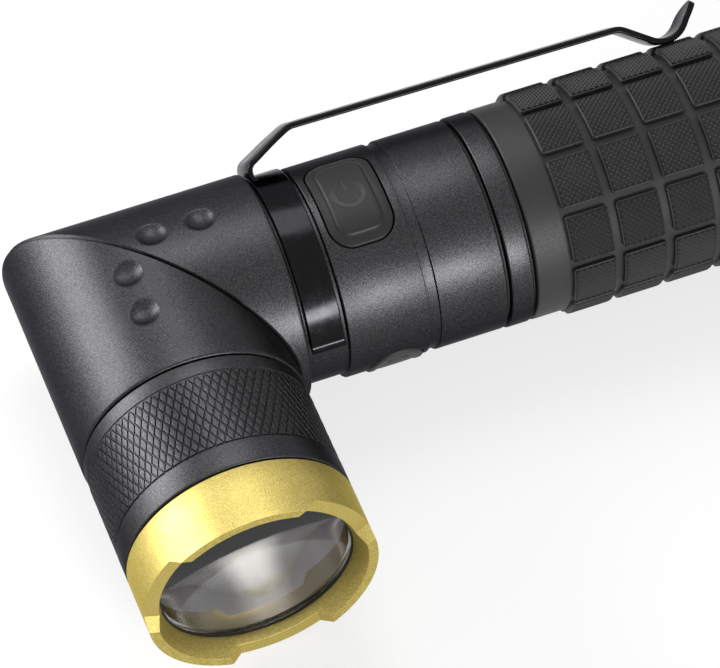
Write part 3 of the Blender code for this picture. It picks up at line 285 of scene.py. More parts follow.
def key_plastic(name, centre):
    """Moulded key top with a faint glossy power sign: a ring and a bar."""
    finish = Finish(name)
    grain = finish.noise(0.22, detail=3.0)
    along, across, _ = finish.millimetres_from(centre)
    reach = (across * across + along * along) ** 0.5
    ring = finish.fade((reach - SIGN_RADIUS).maths('ABSOLUTE'), 0.42, 0.34)
    gap = finish.fade(along.maths('ABSOLUTE'), 0.62, 0.72)
    gap = gap.maths('MAXIMUM', finish.fade(across, 0.1, 0.0))
    bar = finish.fade(along.maths('ABSOLUTE'), 0.38, 0.30)
    bar = bar * finish.fade(across, 0.35, 0.45) * finish.fade(across, 2.85, 2.75)
    sign = (ring * gap).maths('MAXIMUM', bar)
    colour = finish.blend(sign, rgb(0.009, 0.009, 0.010), rgb(0.012, 0.012, 0.013))
    rough = finish.fade(grain, 0.3, 0.7, 0.44, 0.54) - sign * 0.10
    normal = finish.bump(grain * 0.4 + sign * 2.0, 0.02)
    return finish.coat(colour, rough, 0.0, normal, Specular_IOR_Level=0.25)


# ---------------------------------------------------------------------- shapes
def turned(profile, sides=SIDES, closed=True):
    """A turned solid through (radius, station) points."""
    work = bmesh.new()
    points = [work.verts.new((radius, 0.0, station)) for radius, station in profile]
    edges = [work.edges.new(pair) for pair in zip(points, points[1:])]
    if closed and profile[0][0] > 0.0:
        edges.append(work.edges.new((points[-1], points[0])))
    bmesh.ops.spin(work, geom=points + edges, axis=(0.0, 0.0, 1.0), cent=(0.0, 0.0, 0.0),
                   angle=math.tau, steps=sides, use_merge=True)
    bmesh.ops.remove_doubles(work, verts=work.verts, dist=0.0001)
    bmesh.ops.recalc_face_normals(work, faces=work.faces)
    return work


def eased(corners, steps=4):
    """A closed profile whose (radius, station, ease) corners get an arc."""
    line = []
    count = len(corners)
    for index, (radius, station, ease) in enumerate(corners):
        corner = Vector((radius, station))
        if not ease:
            line.append(tuple(corner))
            continue
        before = (Vector(corners[index - 1][:2]) - corner).normalized()
        after = (Vector(corners[(index + 1) % count][:2]) - corner).normalized()
        half = before.angle(after) / 2
        reach = ease / math.tan(half)
        middle = corner + (before + after).normalized() * (ease / math.sin(half))
        start = corner + before * reach - middle
        end = corner + after * reach - middle
        for step in range(steps + 1):
            spoke = start.lerp(end, step / steps).normalized() * ease
            line.append(tuple(middle + spoke))
    return line


def box(size, corner=0.0, segments=10):
    """A box round the origin, with its edges along Z rounded by corner."""
    work = bmesh.new()
    bmesh.ops.create_cube(work, size=1.0)
    bmesh.ops.scale(work, vec=size, verts=work.verts)
    if corner:
        upright = [edge for edge in work.edges
                   if abs(edge.verts[0].co.z - edge.verts[1].co.z) > size[2] / 2]
        bmesh.ops.bevel(work, geom=upright, offset=corner, affect='EDGES',
                        segments=segments, profile=0.5, material=-1)
    return work


def outward(work, turn, station, radius=0.0):
    """Stands a shape out from the axis: its Z becomes the radius."""
    lift = Matrix(((0.0, 0.0, 1.0), (0.0, 1.0, 0.0), (-1.0, 0.0, 0.0)))
    bmesh.ops.transform(work, matrix=lift.to_4x4(), verts=work.verts)
    bmesh.ops.translate(work, vec=(radius, 0.0, station), verts=work.verts)
    bmesh.ops.rotate(work, cent=(0.0, 0.0, 0.0), verts=work.verts,
                     matrix=Matrix.Rotation(turn, 3, 'Z'))
    return work


def as_object(work, name):
    mesh = bpy.data.meshes.new(name)
    work.to_mesh(mesh)
    work.free()
    item = bpy.data.objects.new(name, mesh)
    bpy.context.scene.collection.objects.link(item)
    return item


def carved(work, tools):
    """The shape with each tool taken away from it."""
    body = as_object(work, "carved")
    cutters = [as_object(tool, "tool") for tool in tools]
    for cutter in cutters:
        change = body.modifiers.new("cut", 'BOOLEAN')
        change.operation = 'DIFFERENCE'
        change.solver = 'EXACT'
        change.object = cutter
    result = bmesh.new()
    result.from_object(body, bpy.context.evaluated_depsgraph_get())
    for item in [body, *cutters]:
        bpy.data.objects.remove(item, do_unlink=True)
    return result


def joined(works):
    """Several shapes as one piece."""
    whole = bmesh.new()
    for work in works:
        mesh = bpy.data.meshes.new("part")
        work.to_mesh(mesh)
        work.free()
        whole.from_mesh(mesh)
        bpy.data.meshes.remove(mesh)
    return whole


def piece(name, work, place, finish, body, stands_for, bevel=0.0, sharp=35.0,
          segments=2):
    """Puts a finished shape in the shared frame as one named piece."""
    work.transform(place)
    item = as_object(work, name)
    item.data.shade_smooth()
    item.data.set_sharp_from_angle(angle=math.radians(sharp))
    item.data.materials.append(finish)
    if bevel:
        change = item.modifiers.new("edges", 'BEVEL')
        change.width = bevel * 0.001
        change.segments = segments
        change.limit_method = 'ANGLE'
        change.angle_limit = math.radians(sharp)
        change.harden_normals = True
        change.use_clamp_overlap = True
    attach(item, body)
    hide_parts(*stands_for)
    return item


# ------------------------------------------------------------------------ elbow
ELBOW_RADIUS = 18.0
ELBOW_BEND = 1.0            # rolling radius of the outer corner
SEAM_HALF_GAP = 0.15
PLATE = 3.15                # from the joint plane to the plate's far side
ELBOW_HOLE = 6.3
ELBOW_HOLLOW = 12.9
DIMPLES = (2.65, 10.35)     # stations
DIMPLE_TURN = math.radians(-10.0)
DIMPLE_RADIUS = 2.35
DIMPLE_DEPTH = 0.9
DIMPLE_REACH = 3.3          # from its centre to where the skin is untouched
ROOT_TWO = math.sqrt(2.0)


def elbow_skin(angle, path, radius=ELBOW_RADIUS):
    """The point of the elbow's skin at a path length from the seam.

    The skin runs round a rolled corner outside and straight along the tube.
    """
    up, side = math.cos(angle), math.sin(angle)
    if side >= 0.0:
        return Vector((radius * up, radius * side, radius * side + path))
    core = radius - ELBOW_BEND
    wall = Vector((up, side, 0.0))
    middle = (wall + Vector((up, 0.0, side))).normalized()
    spread = wall.angle(middle)
    bend = path / ELBOW_BEND
    if bend >= spread:
        straight = path - ELBOW_BEND * spread
        return Vector((radius * up, radius * side, core * side + straight))
    spoke = (middle * math.sin(spread - bend) + wall * math.sin(bend)) / math.sin(spread)
    return Vector((core * up, core * side, core * side)) + spoke * ELBOW_BEND


def elbow_rings(end, rim, groove):
    """Functions of the angle that give the rings of one elbow half."""
    lift = Vector((0.0, 0.0, ROOT_TWO * SEAM_HALF_GAP))
    inward = Vector((0.0, -1.0, 1.0)).normalized()
    ease = 0.45

    def skin(share):
        def point(angle):
            side = math.sin(angle)
            spread = 0.0
            if side < 0.0:
                spread = math.acos(math.cos(angle) ** 2) / 2 * ELBOW_BEND
            start = (ELBOW_RADIUS if side >= 0.0 else ELBOW_RADIUS - ELBOW_BEND) * side
            near = rim + spread + 0.5
            far = spread + end - ease - start - lift.z
            path = rim + (near - rim) * share if share <= 1.0 else \
                near + (far - near) * (share - 1.0)
            return elbow_skin(angle, path) + lift
        return point

    def rim_face(angle):
        seam = elbow_skin(angle, 0.0)
        return seam * (1.0 - rim / seam.length) + lift

    def plate_ring(radius, depth):
        def point(angle):
            flat = Vector((math.cos(angle), math.sin(angle) / ROOT_TWO,
                           math.sin(angle) / ROOT_TWO))
            return flat * radius + inward * depth
        return point

    def tube_ring(radius, station):
        return lambda angle: Vector((radius * math.cos(angle), radius * math.sin(angle),
                                     station))

    def hollow_floor(angle):
        side = ELBOW_HOLLOW * math.sin(angle)
        return Vector((ELBOW_HOLLOW * math.cos(angle), side, side + ROOT_TWO * PLATE))

    rings = [tube_ring(ELBOW_HOLLOW, end)]
    for step in range(5):
        corner = math.radians(90.0 * step / 4)
        rings.append(tube_ring(ELBOW_RADIUS - ease * (1.0 - math.sin(corner)),
                               end - ease * (1.0 - math.cos(corner))))
    rings += [skin(1.0 + share / 16) for share in range(15, 0, -1)]
    rings += [skin(share / 10) for share in range(10, -1, -1)]
    rings.append(rim_face)
    if groove:
        rings += [plate_ring(11.4, SEAM_HALF_GAP), plate_ring(11.4, 1.35),
                  plate_ring(9.8, 1.35), plate_ring(9.8, SEAM_HALF_GAP)]
    rings += [plate_ring(ELBOW_HOLE, SEAM_HALF_GAP), plate_ring(ELBOW_HOLE, PLATE),
              hollow_floor]
    return rings


def elbow_half(end, rim, groove):
    """One half: a tube with a slanted plate, a rolled corner and two dimples."""
    rings = [lambda column, ring=ring: ring(column * math.tau / SIDES - math.pi)
             for ring in elbow_rings(end, rim, groove)]
    work = formed(rings, SIDES)
    spoke = Vector((math.cos(DIMPLE_TURN), math.sin(DIMPLE_TURN), 0.0))
    for station in DIMPLES:
        press_dimple(work, spoke, station)
    return work


def press_dimple(work, spoke, station):
    """A soft edged spherical hollow in the tube's skin."""
    centre = spoke * ELBOW_RADIUS + Vector((0.0, 0.0, station))

    def off_axis(place):
        away = place - centre
        return (away - spoke * away.dot(spoke)).length

    near = [face for face in work.faces
            if (face.calc_center_median() - centre).length < DIMPLE_REACH + 0.3
            and face.normal.dot(spoke) > 0.5]
    edges = list({edge for face in near for edge in face.edges})
    bmesh.ops.subdivide_edges(work, edges=edges, cuts=3, use_grid_fill=True)
    ball = (DIMPLE_RADIUS ** 2 + DIMPLE_DEPTH ** 2) / (2 * DIMPLE_DEPTH)
    for vert in work.verts:
        if (vert.co - centre).length > DIMPLE_REACH + 0.6:
            continue
        off = off_axis(vert.co)
        flat = math.hypot(vert.co.x, vert.co.y)
        if flat < ELBOW_RADIUS - 0.05 or off > DIMPLE_REACH:
            continue
        vert.co.x *= ELBOW_RADIUS / flat
        vert.co.y *= ELBOW_RADIUS / flat
        if off < ball:
            cap = math.sqrt(ball ** 2 - off ** 2) - (ball - DIMPLE_DEPTH)
            soft = (cap + math.sqrt(cap ** 2 + 0.004)) / 2
            vert.co -= spoke * soft * max(0.0, 1.0 - (off / DIMPLE_REACH) ** 8)


# --------------------------------------------------------------- switch sleeve
HOUSING_RADIUS = 16.75
BUTTON_STATION = 33.1
BUTTON_SLOT = (10.8, 17.0, 14.0)
BUTTON_SLOT_CORNER = 3.7
PORT_TURN = math.radians(124.0)
PORT_STATION = 34.6


def switch_sleeve():
    """The metal sleeve with its clip groove, trim groove and two openings."""
    profile = eased([
        (HOUSING_RADIUS, 52.5, 0.35), (HOUSING_RADIUS, 41.5, 0.12), (16.35, 41.5, 0.1),
        (16.35, 39.8, 0.1), (HOUSING_RADIUS, 39.8, 0.12), (HOUSING_RADIUS, 26.7, 0.28),
        (16.0, 26.7, 0.15), (16.0, 20.3, 0.1), (14.9, 20.3, 0.0), (14.9, 21.5, 0.0),
        (13.3, 21.5, 0.0), (13.3, 20.3, 0.0), (12.6, 20.3, 0.0), (12.6, 17.65, 0.0),
        (10.6, 17.65, 0.0), (10.6, 26.7, 0.0), (13.2, 26.7, 0.0), (13.2, 43.0, 0.0),
        (13.8, 43.0, 0.0), (13.8, 52.5, 0.1)])
    sleeve = turned(profile)
    key_slot = outward(box(BUTTON_SLOT, BUTTON_SLOT_CORNER), 0.0, BUTTON_STATION, 12.0)
    recess = outward(box((9.0, 13.0, 4.0), 4.4), PORT_TURN, PORT_STATION, 17.2)
    window = outward(box((3.5, 9.2, 8.0), 1.4), PORT_TURN, PORT_STATION, 12.0)
    return carved(sleeve, [key_slot, recess, window])


# ----------------------------------------------------------- rings and outlines
def formed(rings, sides, closed=True):
    """A tube through rings; each ring gives a place for a column's number."""
    work = turned([(1.0 + index, 0.0) for index in range(len(rings))], sides, closed)
    for vert in work.verts:
        ring = round(math.hypot(vert.co.x, vert.co.y)) - 1
        column = round(math.atan2(vert.co.y, vert.co.x) / math.tau * sides) % sides
        vert.co = rings[ring](column)
    if not closed:
        rims = [edge for edge in work.edges if edge.is_boundary]
        bmesh.ops.holes_fill(work, edges=rims, sides=0)
    bmesh.ops.recalc_face_normals(work, faces=work.faces)
    return work


def rounded_outline(half_x, half_y, corner, arc=10, long_side=14, short_side=6):
    """Points round a rectangle with round corners, anticlockwise."""
    points = []
    centres = ((1, 1, 0.0, long_side), (-1, 1, 90.0, short_side),
               (-1, -1, 180.0, long_side), (1, -1, 270.0, short_side))
    # Each corner's arc is led in by the straight side before it.
    previous = Vector((half_x, corner - half_y))
    for sign_x, sign_y, start, steps in centres:
        middle = Vector((sign_x * (half_x - corner), sign_y * (half_y - corner)))
        arc_points = []
        for step in range(arc):
            angle = math.radians(start + 90.0 * step / (arc - 1))
            arc_points.append(middle + corner * Vector((math.cos(angle), math.sin(angle))))
        points += [previous.lerp(arc_points[0], (step + 1) / (steps + 1))
                   for step in range(steps)]
        points += arc_points
        previous = arc_points[-1]
    return points


def curved_pad(half_x, half_y, corner, radius, steps):
    """A plate that is bent round the axis.

    Each step is (inset, share, height): the outline moves in by the inset,
    shrinks to the share, and stands at the height above the radius.
    """
    def ring(inset, share, height):
        round_corner = max(corner - inset, 0.2)
        points = rounded_outline(half_x - inset, half_y - inset, round_corner)

        def place(column):
            point = points[column] * share
            lift = math.sqrt(radius ** 2 - point.y ** 2) + height
            return Vector((point.x, point.y, lift))
        return place

    sides = len(rounded_outline(half_x, half_y, corner))
    return formed([ring(*step) for step in steps], sides, closed=False)


def power_key():
    """The push button: a rim, a fine groove and a softly raised pad."""
    steps = [(0.0, 1.0, -3.4), (0.0, 1.0, -0.02), (0.04, 1.0, 0.07), (0.13, 1.0, 0.12),
             (1.20, 1.0, 0.12), (1.28, 1.0, 0.06), (1.42, 1.0, 0.04), (1.52, 1.0, 0.08),
             (1.62, 1.0, 0.26), (1.72, 1.0, 0.33), (1.88, 1.0, 0.36),
             (2.40, 1.0, 0.37), (2.40, 0.75, 0.37), (2.40, 0.5, 0.37), (2.40, 0.25, 0.37),
             (2.40, 0.05, 0.37)]
    pad = curved_pad(5.1, 8.2, 3.4, HOUSING_RADIUS, steps)
    return outward(pad, 0.0, BUTTON_STATION)


def port_flap():
    """The rubber flap with a rolled edge and a finger tab."""
    steps = [(0.0, 1.0, -1.3), (0.0, 1.0, 0.12), (0.05, 1.0, 0.24), (0.18, 1.0, 0.33),
             (0.36, 1.0, 0.35), (0.80, 1.0, 0.35), (0.92, 1.0, 0.28), (1.10, 1.0, 0.22),
             (1.40, 1.0, 0.22), (1.40, 0.8, 0.24), (1.40, 0.6, 0.26), (1.40, 0.3, 0.27),
             (1.40, 0.05, 0.27)]
    flap = outward(curved_pad(4.2, 6.2, 4.1, HOUSING_RADIUS, steps), PORT_TURN, PORT_STATION)
    steps = [(0.0, 1.0, -0.8), (0.0, 1.0, 0.22), (0.08, 1.0, 0.33), (0.24, 1.0, 0.38),
             (0.24, 0.6, 0.38), (0.24, 0.1, 0.38)]
    tab = curved_pad(1.7, 0.75, 0.7, HOUSING_RADIUS, steps)
    bmesh.ops.rotate(tab, cent=(0.0, 0.0, 0.0), verts=tab.verts,
                     matrix=Matrix.Rotation(math.radians(12.5), 3, 'X'))
    return joined([flap, outward(tab, PORT_TURN, PORT_STATION)])


# ----------------------------------------------------------------- belt clip
CLIP_TURN = math.radians(-50.0)
CLIP_THICKNESS = 1.0
CLIP_HALF_WIDTH = 3.1
ROOT_HALF_WIDTH = 4.8
BAND_MIDDLE = 16.7
BAND_THICKNESS = 0.8
BAND_SPAN = math.radians(128.0)     # from the bar to each end of the band
BAND_STATION = 23.3
BAND_HALF_WIDTH = 2.7
TONGUE_END = 24.9           # of the strip's flat root on the band
RISER_STATION = 21.1
SHOULDER_RADIUS = 19.35
BAR_START = Vector((22.8, 29.15))
BAR_END_RADIUS = 22.2
CLIP_FALL = math.radians(35.0)
HEEL_REST = 17.75           # radius on which the heel's inside rests
HEEL_STATION = 90.5
HEEL_BEND = 4.5
TIP_RISE = math.radians(50.0)
TIP_LENGTH = 8.1
TIP_TAPER = 4.6


def clip_path():
    """Bent centre line of the strip as (radius, station) points."""
    reach = HEEL_BEND / math.cos((CLIP_FALL + TIP_RISE) / 2)
    tilt = (TIP_RISE - CLIP_FALL) / 2
    rest = HEEL_REST + CLIP_THICKNESS / 2 + HEEL_BEND
    heel = Vector((rest - reach * math.cos(tilt), HEEL_STATION + reach * math.sin(tilt)))
    bar_end = heel.y - (BAR_END_RADIUS - heel.x) / math.tan(CLIP_FALL)
    tip = heel + TIP_LENGTH * Vector((math.sin(TIP_RISE), math.cos(TIP_RISE)))
    corners = [Vector((BAND_MIDDLE, TONGUE_END)), Vector((BAND_MIDDLE, RISER_STATION)),
               Vector((SHOULDER_RADIUS, RISER_STATION)), BAR_START,
               Vector((BAR_END_RADIUS, bar_end)), heel, tip]
    line = [corners[0]]
    bends = (1.15, 1.5, 3.0, 3.0, HEEL_BEND)
    for before, corner, after, bend in zip(corners, corners[1:], corners[2:], bends):
        entry, leave = (before - corner).normalized(), (after - corner).normalized()
        half = entry.angle(leave) / 2
        middle = corner + (entry + leave).normalized() * (bend / math.sin(half))
        start = corner + entry * (bend / math.tan(half)) - middle
        end = corner + leave * (bend / math.tan(half)) - middle
        line += [middle + start.lerp(end, step / 12).normalized() * bend
                 for step in range(13)]
    return line + [corners[-1]]


def along_path(line, lengths):
    """(point, tangent) at each length along a line of points."""
    spans = [(end - start).length for start, end in zip(line, line[1:])]
    places = []
    for length in lengths:
        left, index = length, 0
        while index < len(spans) - 1 and left > spans[index]:
            left -= spans[index]
            index += 1
        start, end = line[index], line[index + 1]
        share = min(left / spans[index], 1.0)
        places.append((start.lerp(end, share), (end - start).normalized()))
    return places


def section(column, half_width, half_thickness, ease):
    """A point round a flat bar's section with eased edges."""
    corner, step = divmod(column, 8)
    angle = math.radians(90.0 * corner + 90.0 * step / 7)
    sign_u = 1 if corner in (0, 3) else -1
    sign_v = 1 if corner in (0, 1) else -1
    ease = min(ease, half_width, half_thickness)
    return (sign_u * (half_width - ease) + ease * math.cos(angle),
            sign_v * (half_thickness - ease) + ease * math.sin(angle))


def smooth(share):
    """A share from 0 to 1 that starts and ends gently."""
    share = min(max(share, 0.0), 1.0)
    return share * share * (3.0 - 2.0 * share)


def belt_clip():
    """The sprung strip, wide and curved at its root, and its open band."""
    line = clip_path()
    total = sum((end - start).length for start, end in zip(line, line[1:]))
    straight = total - TIP_TAPER
    lengths = [0.25 * step for step in range(int(straight / 0.25) + 1)]
    lengths += [straight + TIP_TAPER * math.sin(math.radians(90.0 * step / 14))
                for step in range(1, 15)]

    def ring(length, point, tangent):
        over = max(0.0, (length - straight) / TIP_TAPER)
        flat = smooth((length - 6.0) / 9.0)
        width = ROOT_HALF_WIDTH + (CLIP_HALF_WIDTH - ROOT_HALF_WIDTH) * flat
        half_width = width * math.sqrt(max(1.0 - over ** 2, 0.0004))
        thickness = BAND_THICKNESS + (CLIP_THICKNESS - BAND_THICKNESS) * flat
        cup = 0.05 * min(max((length - (total - 9.0)) / 6.0, 0.0), 1.0)

        def place(column):
            across, lift = section(column, half_width, thickness / 2, 0.30)
            lift += cup * across ** 2
            radius = point.x + tangent.y * lift
            station = point.y - tangent.x * lift
            bent = math.sqrt(max(radius ** 2 - across ** 2, 0.0))
            return Vector((bent + (radius - bent) * flat, across, station))
        return place

    strip = formed([ring(length, *place) for length, place
                    in zip(lengths, along_path(line, lengths))], 32, closed=False)

    def band_ring(share):
        angle = BAND_SPAN * share
        end = max(0.0, (abs(share) - 0.972) / 0.028)

        def place(column):
            across, lift = section(column, BAND_HALF_WIDTH, BAND_THICKNESS / 2, 0.2)
            radius = BAND_MIDDLE + lift + 0.55 * end ** 2
            return Vector((radius * math.cos(angle), radius * math.sin(angle),
                           BAND_STATION + across))
        return place

    shares = [step / 100 for step in range(-97, 98)]
    ends = [0.975, 0.98, 0.985, 0.99, 0.995, 1.0]
    shares = [-share for share in reversed(ends)] + shares + ends
    band = formed([band_ring(share) for share in shares], 32, closed=False)
    clip = joined([strip, band])
    bmesh.ops.rotate(clip, cent=(0.0, 0.0, 0.0), verts=clip.verts,
                     matrix=Matrix.Rotation(CLIP_TURN, 3, 'Z'))
    return clip


# ------------------------------------------------------------------ rubber grip
GRIP_START = 57.3
FIRST_BLOCK = 63.05
GRIP_PITCH = 8.3
BLOCK_GAP = 1.3
GRIP_ROWS = 7
BLOCKS_ROUND = 12
BLOCK_RADIUS = 17.65
GROOVE_RADIUS = 16.75
PAD_MARGIN = 0.21           # of plain rubber round a block's pad
POINT_PITCH = 0.94
POINT_HEIGHT = 0.30


def pointed_pad(length, width, pitch, height):
    """A sheet of fine four sided points that stand on a diagonal lattice."""
    work = bmesh.new()
    cells_x, cells_y = round(length / pitch), round(width / pitch)
    bmesh.ops.create_grid(work, x_segments=cells_x, y_segments=cells_y, size=0.5)
    bmesh.ops.scale(work, vec=(length, width, 1.0), verts=work.verts)
    straight = work.edges[:]
    bmesh.ops.poke(work, faces=work.faces[:])
    inner = [edge for edge in straight if edge.is_valid and not edge.is_boundary]
    bmesh.ops.dissolve_edges(work, edges=inner, use_verts=False)
    bmesh.ops.poke(work, faces=work.faces[:], offset=height)
    rims = [edge for edge in work.edges if edge.is_boundary]
    skirt = bmesh.ops.extrude_edge_only(work, edges=rims)["geom"]
    low = [item for item in skirt if isinstance(item, bmesh.types.BMVert)]
    bmesh.ops.translate(work, vec=(0.0, 0.0, -0.3), verts=low)
    rims = [edge for edge in work.edges if edge.is_boundary]
    bmesh.ops.holes_fill(work, edges=rims, sides=0)
    return work


def grip_block():
    """One block with soft edges, and the pointed pad on its top."""
    length = GRIP_PITCH - BLOCK_GAP
    width = math.tau / BLOCKS_ROUND * BLOCK_RADIUS - BLOCK_GAP
    work = bmesh.new()
    bmesh.ops.create_grid(work, x_segments=5, y_segments=6, size=0.5)
    bmesh.ops.scale(work, vec=(length, width, 1.0), verts=work.verts)
    corners = [vert for vert in work.verts if len(vert.link_edges) == 2]
    bmesh.ops.bevel(work, geom=corners, offset=0.55, affect='VERTICES', segments=4,
                    profile=0.5, material=-1)
    rims = [edge for edge in work.edges if edge.is_boundary]
    wall = bmesh.ops.extrude_edge_only(work, edges=rims)["geom"]
    low = [item for item in wall if isinstance(item, bmesh.types.BMVert)]
    bmesh.ops.translate(work, vec=(0.0, 0.0, -1.3), verts=low)
    bmesh.ops.bevel(work, geom=rims, offset=0.20, affect='EDGES', segments=3,
                    profile=0.5, material=-1)
    rims = [edge for edge in work.edges if edge.is_boundary]
    bmesh.ops.holes_fill(work, edges=rims, sides=0)
    pad = pointed_pad(length - 2 * PAD_MARGIN, width - 2 * PAD_MARGIN, POINT_PITCH,
                      POINT_HEIGHT)
    bmesh.ops.translate(pad, vec=(0.0, 0.0, 0.015), verts=pad.verts)
    block = joined([work, pad])
    bmesh.ops.recalc_face_normals(block, faces=block.faces)
    for vert in block.verts:
        angle = vert.co.y / BLOCK_RADIUS
        radius = BLOCK_RADIUS - 0.12 + vert.co.z
        vert.co = Vector((radius * math.cos(angle), radius * math.sin(angle), vert.co.x))
    return block


def waffle_grip():
    """The sleeve with its collar, and rows of blocks round it."""
    length = GRIP_PITCH - BLOCK_GAP
    end = FIRST_BLOCK + GRIP_ROWS * GRIP_PITCH - BLOCK_GAP
    sleeve = turned(eased([(GROOVE_RADIUS, end, 0.25), (GROOVE_RADIUS, FIRST_BLOCK, 0.0),
                           (16.9, FIRST_BLOCK - 0.4, 0.2), (16.9, GRIP_START, 0.35),
                           (13.8, GRIP_START, 0.0), (13.8, end, 0.0)]))
    row = grip_block()
    bmesh.ops.translate(row, vec=(0.0, 0.0, FIRST_BLOCK + length / 2), verts=row.verts)
    block = row.verts[:] + row.edges[:] + row.faces[:]
    bmesh.ops.spin(row, geom=block, axis=(0.0, 0.0, 1.0), cent=(0.0, 0.0, 0.0),
                   angle=math.tau * (BLOCKS_ROUND - 1) / BLOCKS_ROUND,
                   steps=BLOCKS_ROUND - 1, use_duplicate=True)
    ring = row.verts[:] + row.edges[:] + row.faces[:]
    for number in range(1, GRIP_ROWS):
        copy = bmesh.ops.duplicate(row, geom=ring)["geom"]
        moved = [item for item in copy if isinstance(item, bmesh.types.BMVert)]
        bmesh.ops.translate(row, vec=(0.0, 0.0, number * GRIP_PITCH), verts=moved)
    return joined([sleeve, row])


# -------------------------------------------------------------------- lamp head
HEAD_RADIUS = 18.0
KNURL_FLOOR = 17.72
KNURL_RADIUS = 17.76
KNURL_AROUND = 80
KNURL_CUT = 0.18
KNURL_POINT = 0.05


def knurl_band(start, end, rows, radius=KNURL_RADIUS):
    """A ring of low pointed diamonds between crossing cuts."""
    work = bmesh.new()
    bmesh.ops.create_grid(work, x_segments=KNURL_AROUND, y_segments=rows, size=0.5)
    for vert in work.verts:
        angle = vert.co.x * math.tau
        station = start + (end - start) * (vert.co.y + 0.5)
        vert.co = Vector((radius * math.cos(angle), radius * math.sin(angle), station))
    bmesh.ops.remove_doubles(work, verts=work.verts, dist=0.001)
    straight = work.edges[:]
    bmesh.ops.poke(work, faces=work.faces[:])
    for vert in work.verts:
        scale = radius / math.hypot(vert.co.x, vert.co.y)
        vert.co.x *= scale
        vert.co.y *= scale
    inner = [edge for edge in straight if edge.is_valid and not edge.is_boundary]
    bmesh.ops.dissolve_edges(work, edges=inner, use_verts=False)
    bmesh.ops.recalc_face_normals(work, faces=work.faces)
    tops = work.faces[:]
    bmesh.ops.inset_individual(work, faces=tops, thickness=0.05, depth=0.0)
    bmesh.ops.inset_individual(work, faces=tops, thickness=0.17, depth=KNURL_CUT)
    bmesh.ops.poke(work, faces=tops, offset=KNURL_POINT)
    rims = [edge for edge in work.edges if edge.is_boundary]
    sunk = bmesh.ops.extrude_edge_only(work, edges=rims)["geom"]
    low = [item for item in sunk if isinstance(item, bmesh.types.BMVert)]
    for vert in low:
        scale = (radius - 0.6) / math.hypot(vert.co.x, vert.co.y)
        vert.co.x *= scale
        vert.co.y *= scale
    rims = [edge for edge in work.edges if edge.is_boundary]
    bmesh.ops.bridge_loops(work, edges=rims)
    bmesh.ops.recalc_face_normals(work, faces=work.faces)
    return work


def lamp_barrel():
    """The lamp housing: a neck, a knurled band and a plain ring."""
    profile = eased([
        (16.3, 46.0, 0.2), (16.3, 41.8, 0.0), (HEAD_RADIUS, 41.8, 0.30),
        (HEAD_RADIUS, 37.62, 0.12), (KNURL_FLOOR, 37.45, 0.0), (KNURL_FLOOR, 24.35, 0.0),
        (17.86, 24.2, 0.10), (17.86, 21.8, 0.22),
        (14.9, 21.8, 0.0), (14.9, 23.0, 0.0), (13.3, 23.0, 0.0), (13.3, 21.8, 0.0),
        (12.6, 21.8, 0.0), (12.6, 17.65, 0.0), (10.6, 17.65, 0.0), (10.6, 24.0, 0.0),
        (14.3, 24.0, 0.0), (14.3, 28.5, 0.0), (15.75, 28.5, 0.0), (15.75, 46.0, 0.0)])
    knurl = knurl_band(24.5, 37.35, 5)
    return joined([turned(profile), knurl])


NOTCH_TURN = math.radians(68.75)
NOTCH_DEPTH = 1.75
NOTCH_HALF_FLOOR = 6.4
NOTCH_HALF_MOUTH = 8.15
BEZEL_END = 52.0
MOUTH_START = 49.2
LIP_RADIUS = 15.2
MOUTH_FLARE = 1.3 / (BEZEL_END - MOUTH_START)


def bezel_columns():
    """Half widths and land angles of one third of the bezel, notch first."""
    columns = []
    for step in range(14):
        columns.append(("notch", NOTCH_HALF_FLOOR * step / 14, 1.0))
    for step in range(6):
        share = step / 5
        columns.append(("notch", NOTCH_HALF_FLOOR
                        + (NOTCH_HALF_MOUTH - NOTCH_HALF_FLOOR) * share, 1.0 - share))
    for step in range(1, 21):
        columns.append(("land", step / 20, 0.0))
    return columns


def strike_bezel():
    """The gold ring: a cone inside, a lip over the glass and three notches."""
    half = bezel_columns()
    # A third runs from its notch's middle to the next land's middle and on.
    third = half + half[-2:0:-1]
    sides = 3 * len(third)

    def angle_and_drop(column, radius):
        number, index = divmod(column, len(third))
        kind, size, drop = third[index]
        sign = -1.0 if index >= len(half) else 1.0
        if kind == "notch":
            angle = math.asin(size / radius)
        else:
            edge = math.asin(NOTCH_HALF_MOUTH / radius)
            angle = edge + (math.pi / 3 - edge) * size
        turn = NOTCH_TURN + number * math.tau / 3
        if sign < 0.0:
            turn += math.tau / 3
        return turn + sign * angle, drop

    def plain(radius, station):
        def place(column):
            angle = angle_and_drop(column, radius)[0]
            return Vector((radius * math.cos(angle), radius * math.sin(angle), station))
        return place

    def rim(outer=None):
        """A ring that follows the notches, without a radius on the mouth's cone."""
        def place(column):
            drop = angle_and_drop(column, HEAD_RADIUS)[1]
            station = BEZEL_END - NOTCH_DEPTH * drop
            radius = outer
            if not outer:
                radius = LIP_RADIUS + (station - MOUTH_START) * MOUTH_FLARE
            angle = angle_and_drop(column, radius)[0]
            return Vector((radius * math.cos(angle), radius * math.sin(angle), station))
        return place

    rings = [plain(16.6, 42.1), plain(17.7, 42.1), plain(17.9, 42.16),
             plain(HEAD_RADIUS, 42.36), plain(HEAD_RADIUS, 46.0), plain(HEAD_RADIUS, 49.6),
             rim(HEAD_RADIUS), rim(17.25), rim(),
             plain(LIP_RADIUS, MOUTH_START), plain(LIP_RADIUS, 48.75), plain(15.25, 48.7),
             plain(15.75, 48.7), plain(15.75, 46.3), plain(16.6, 46.3)]
    return formed(rings, sides)


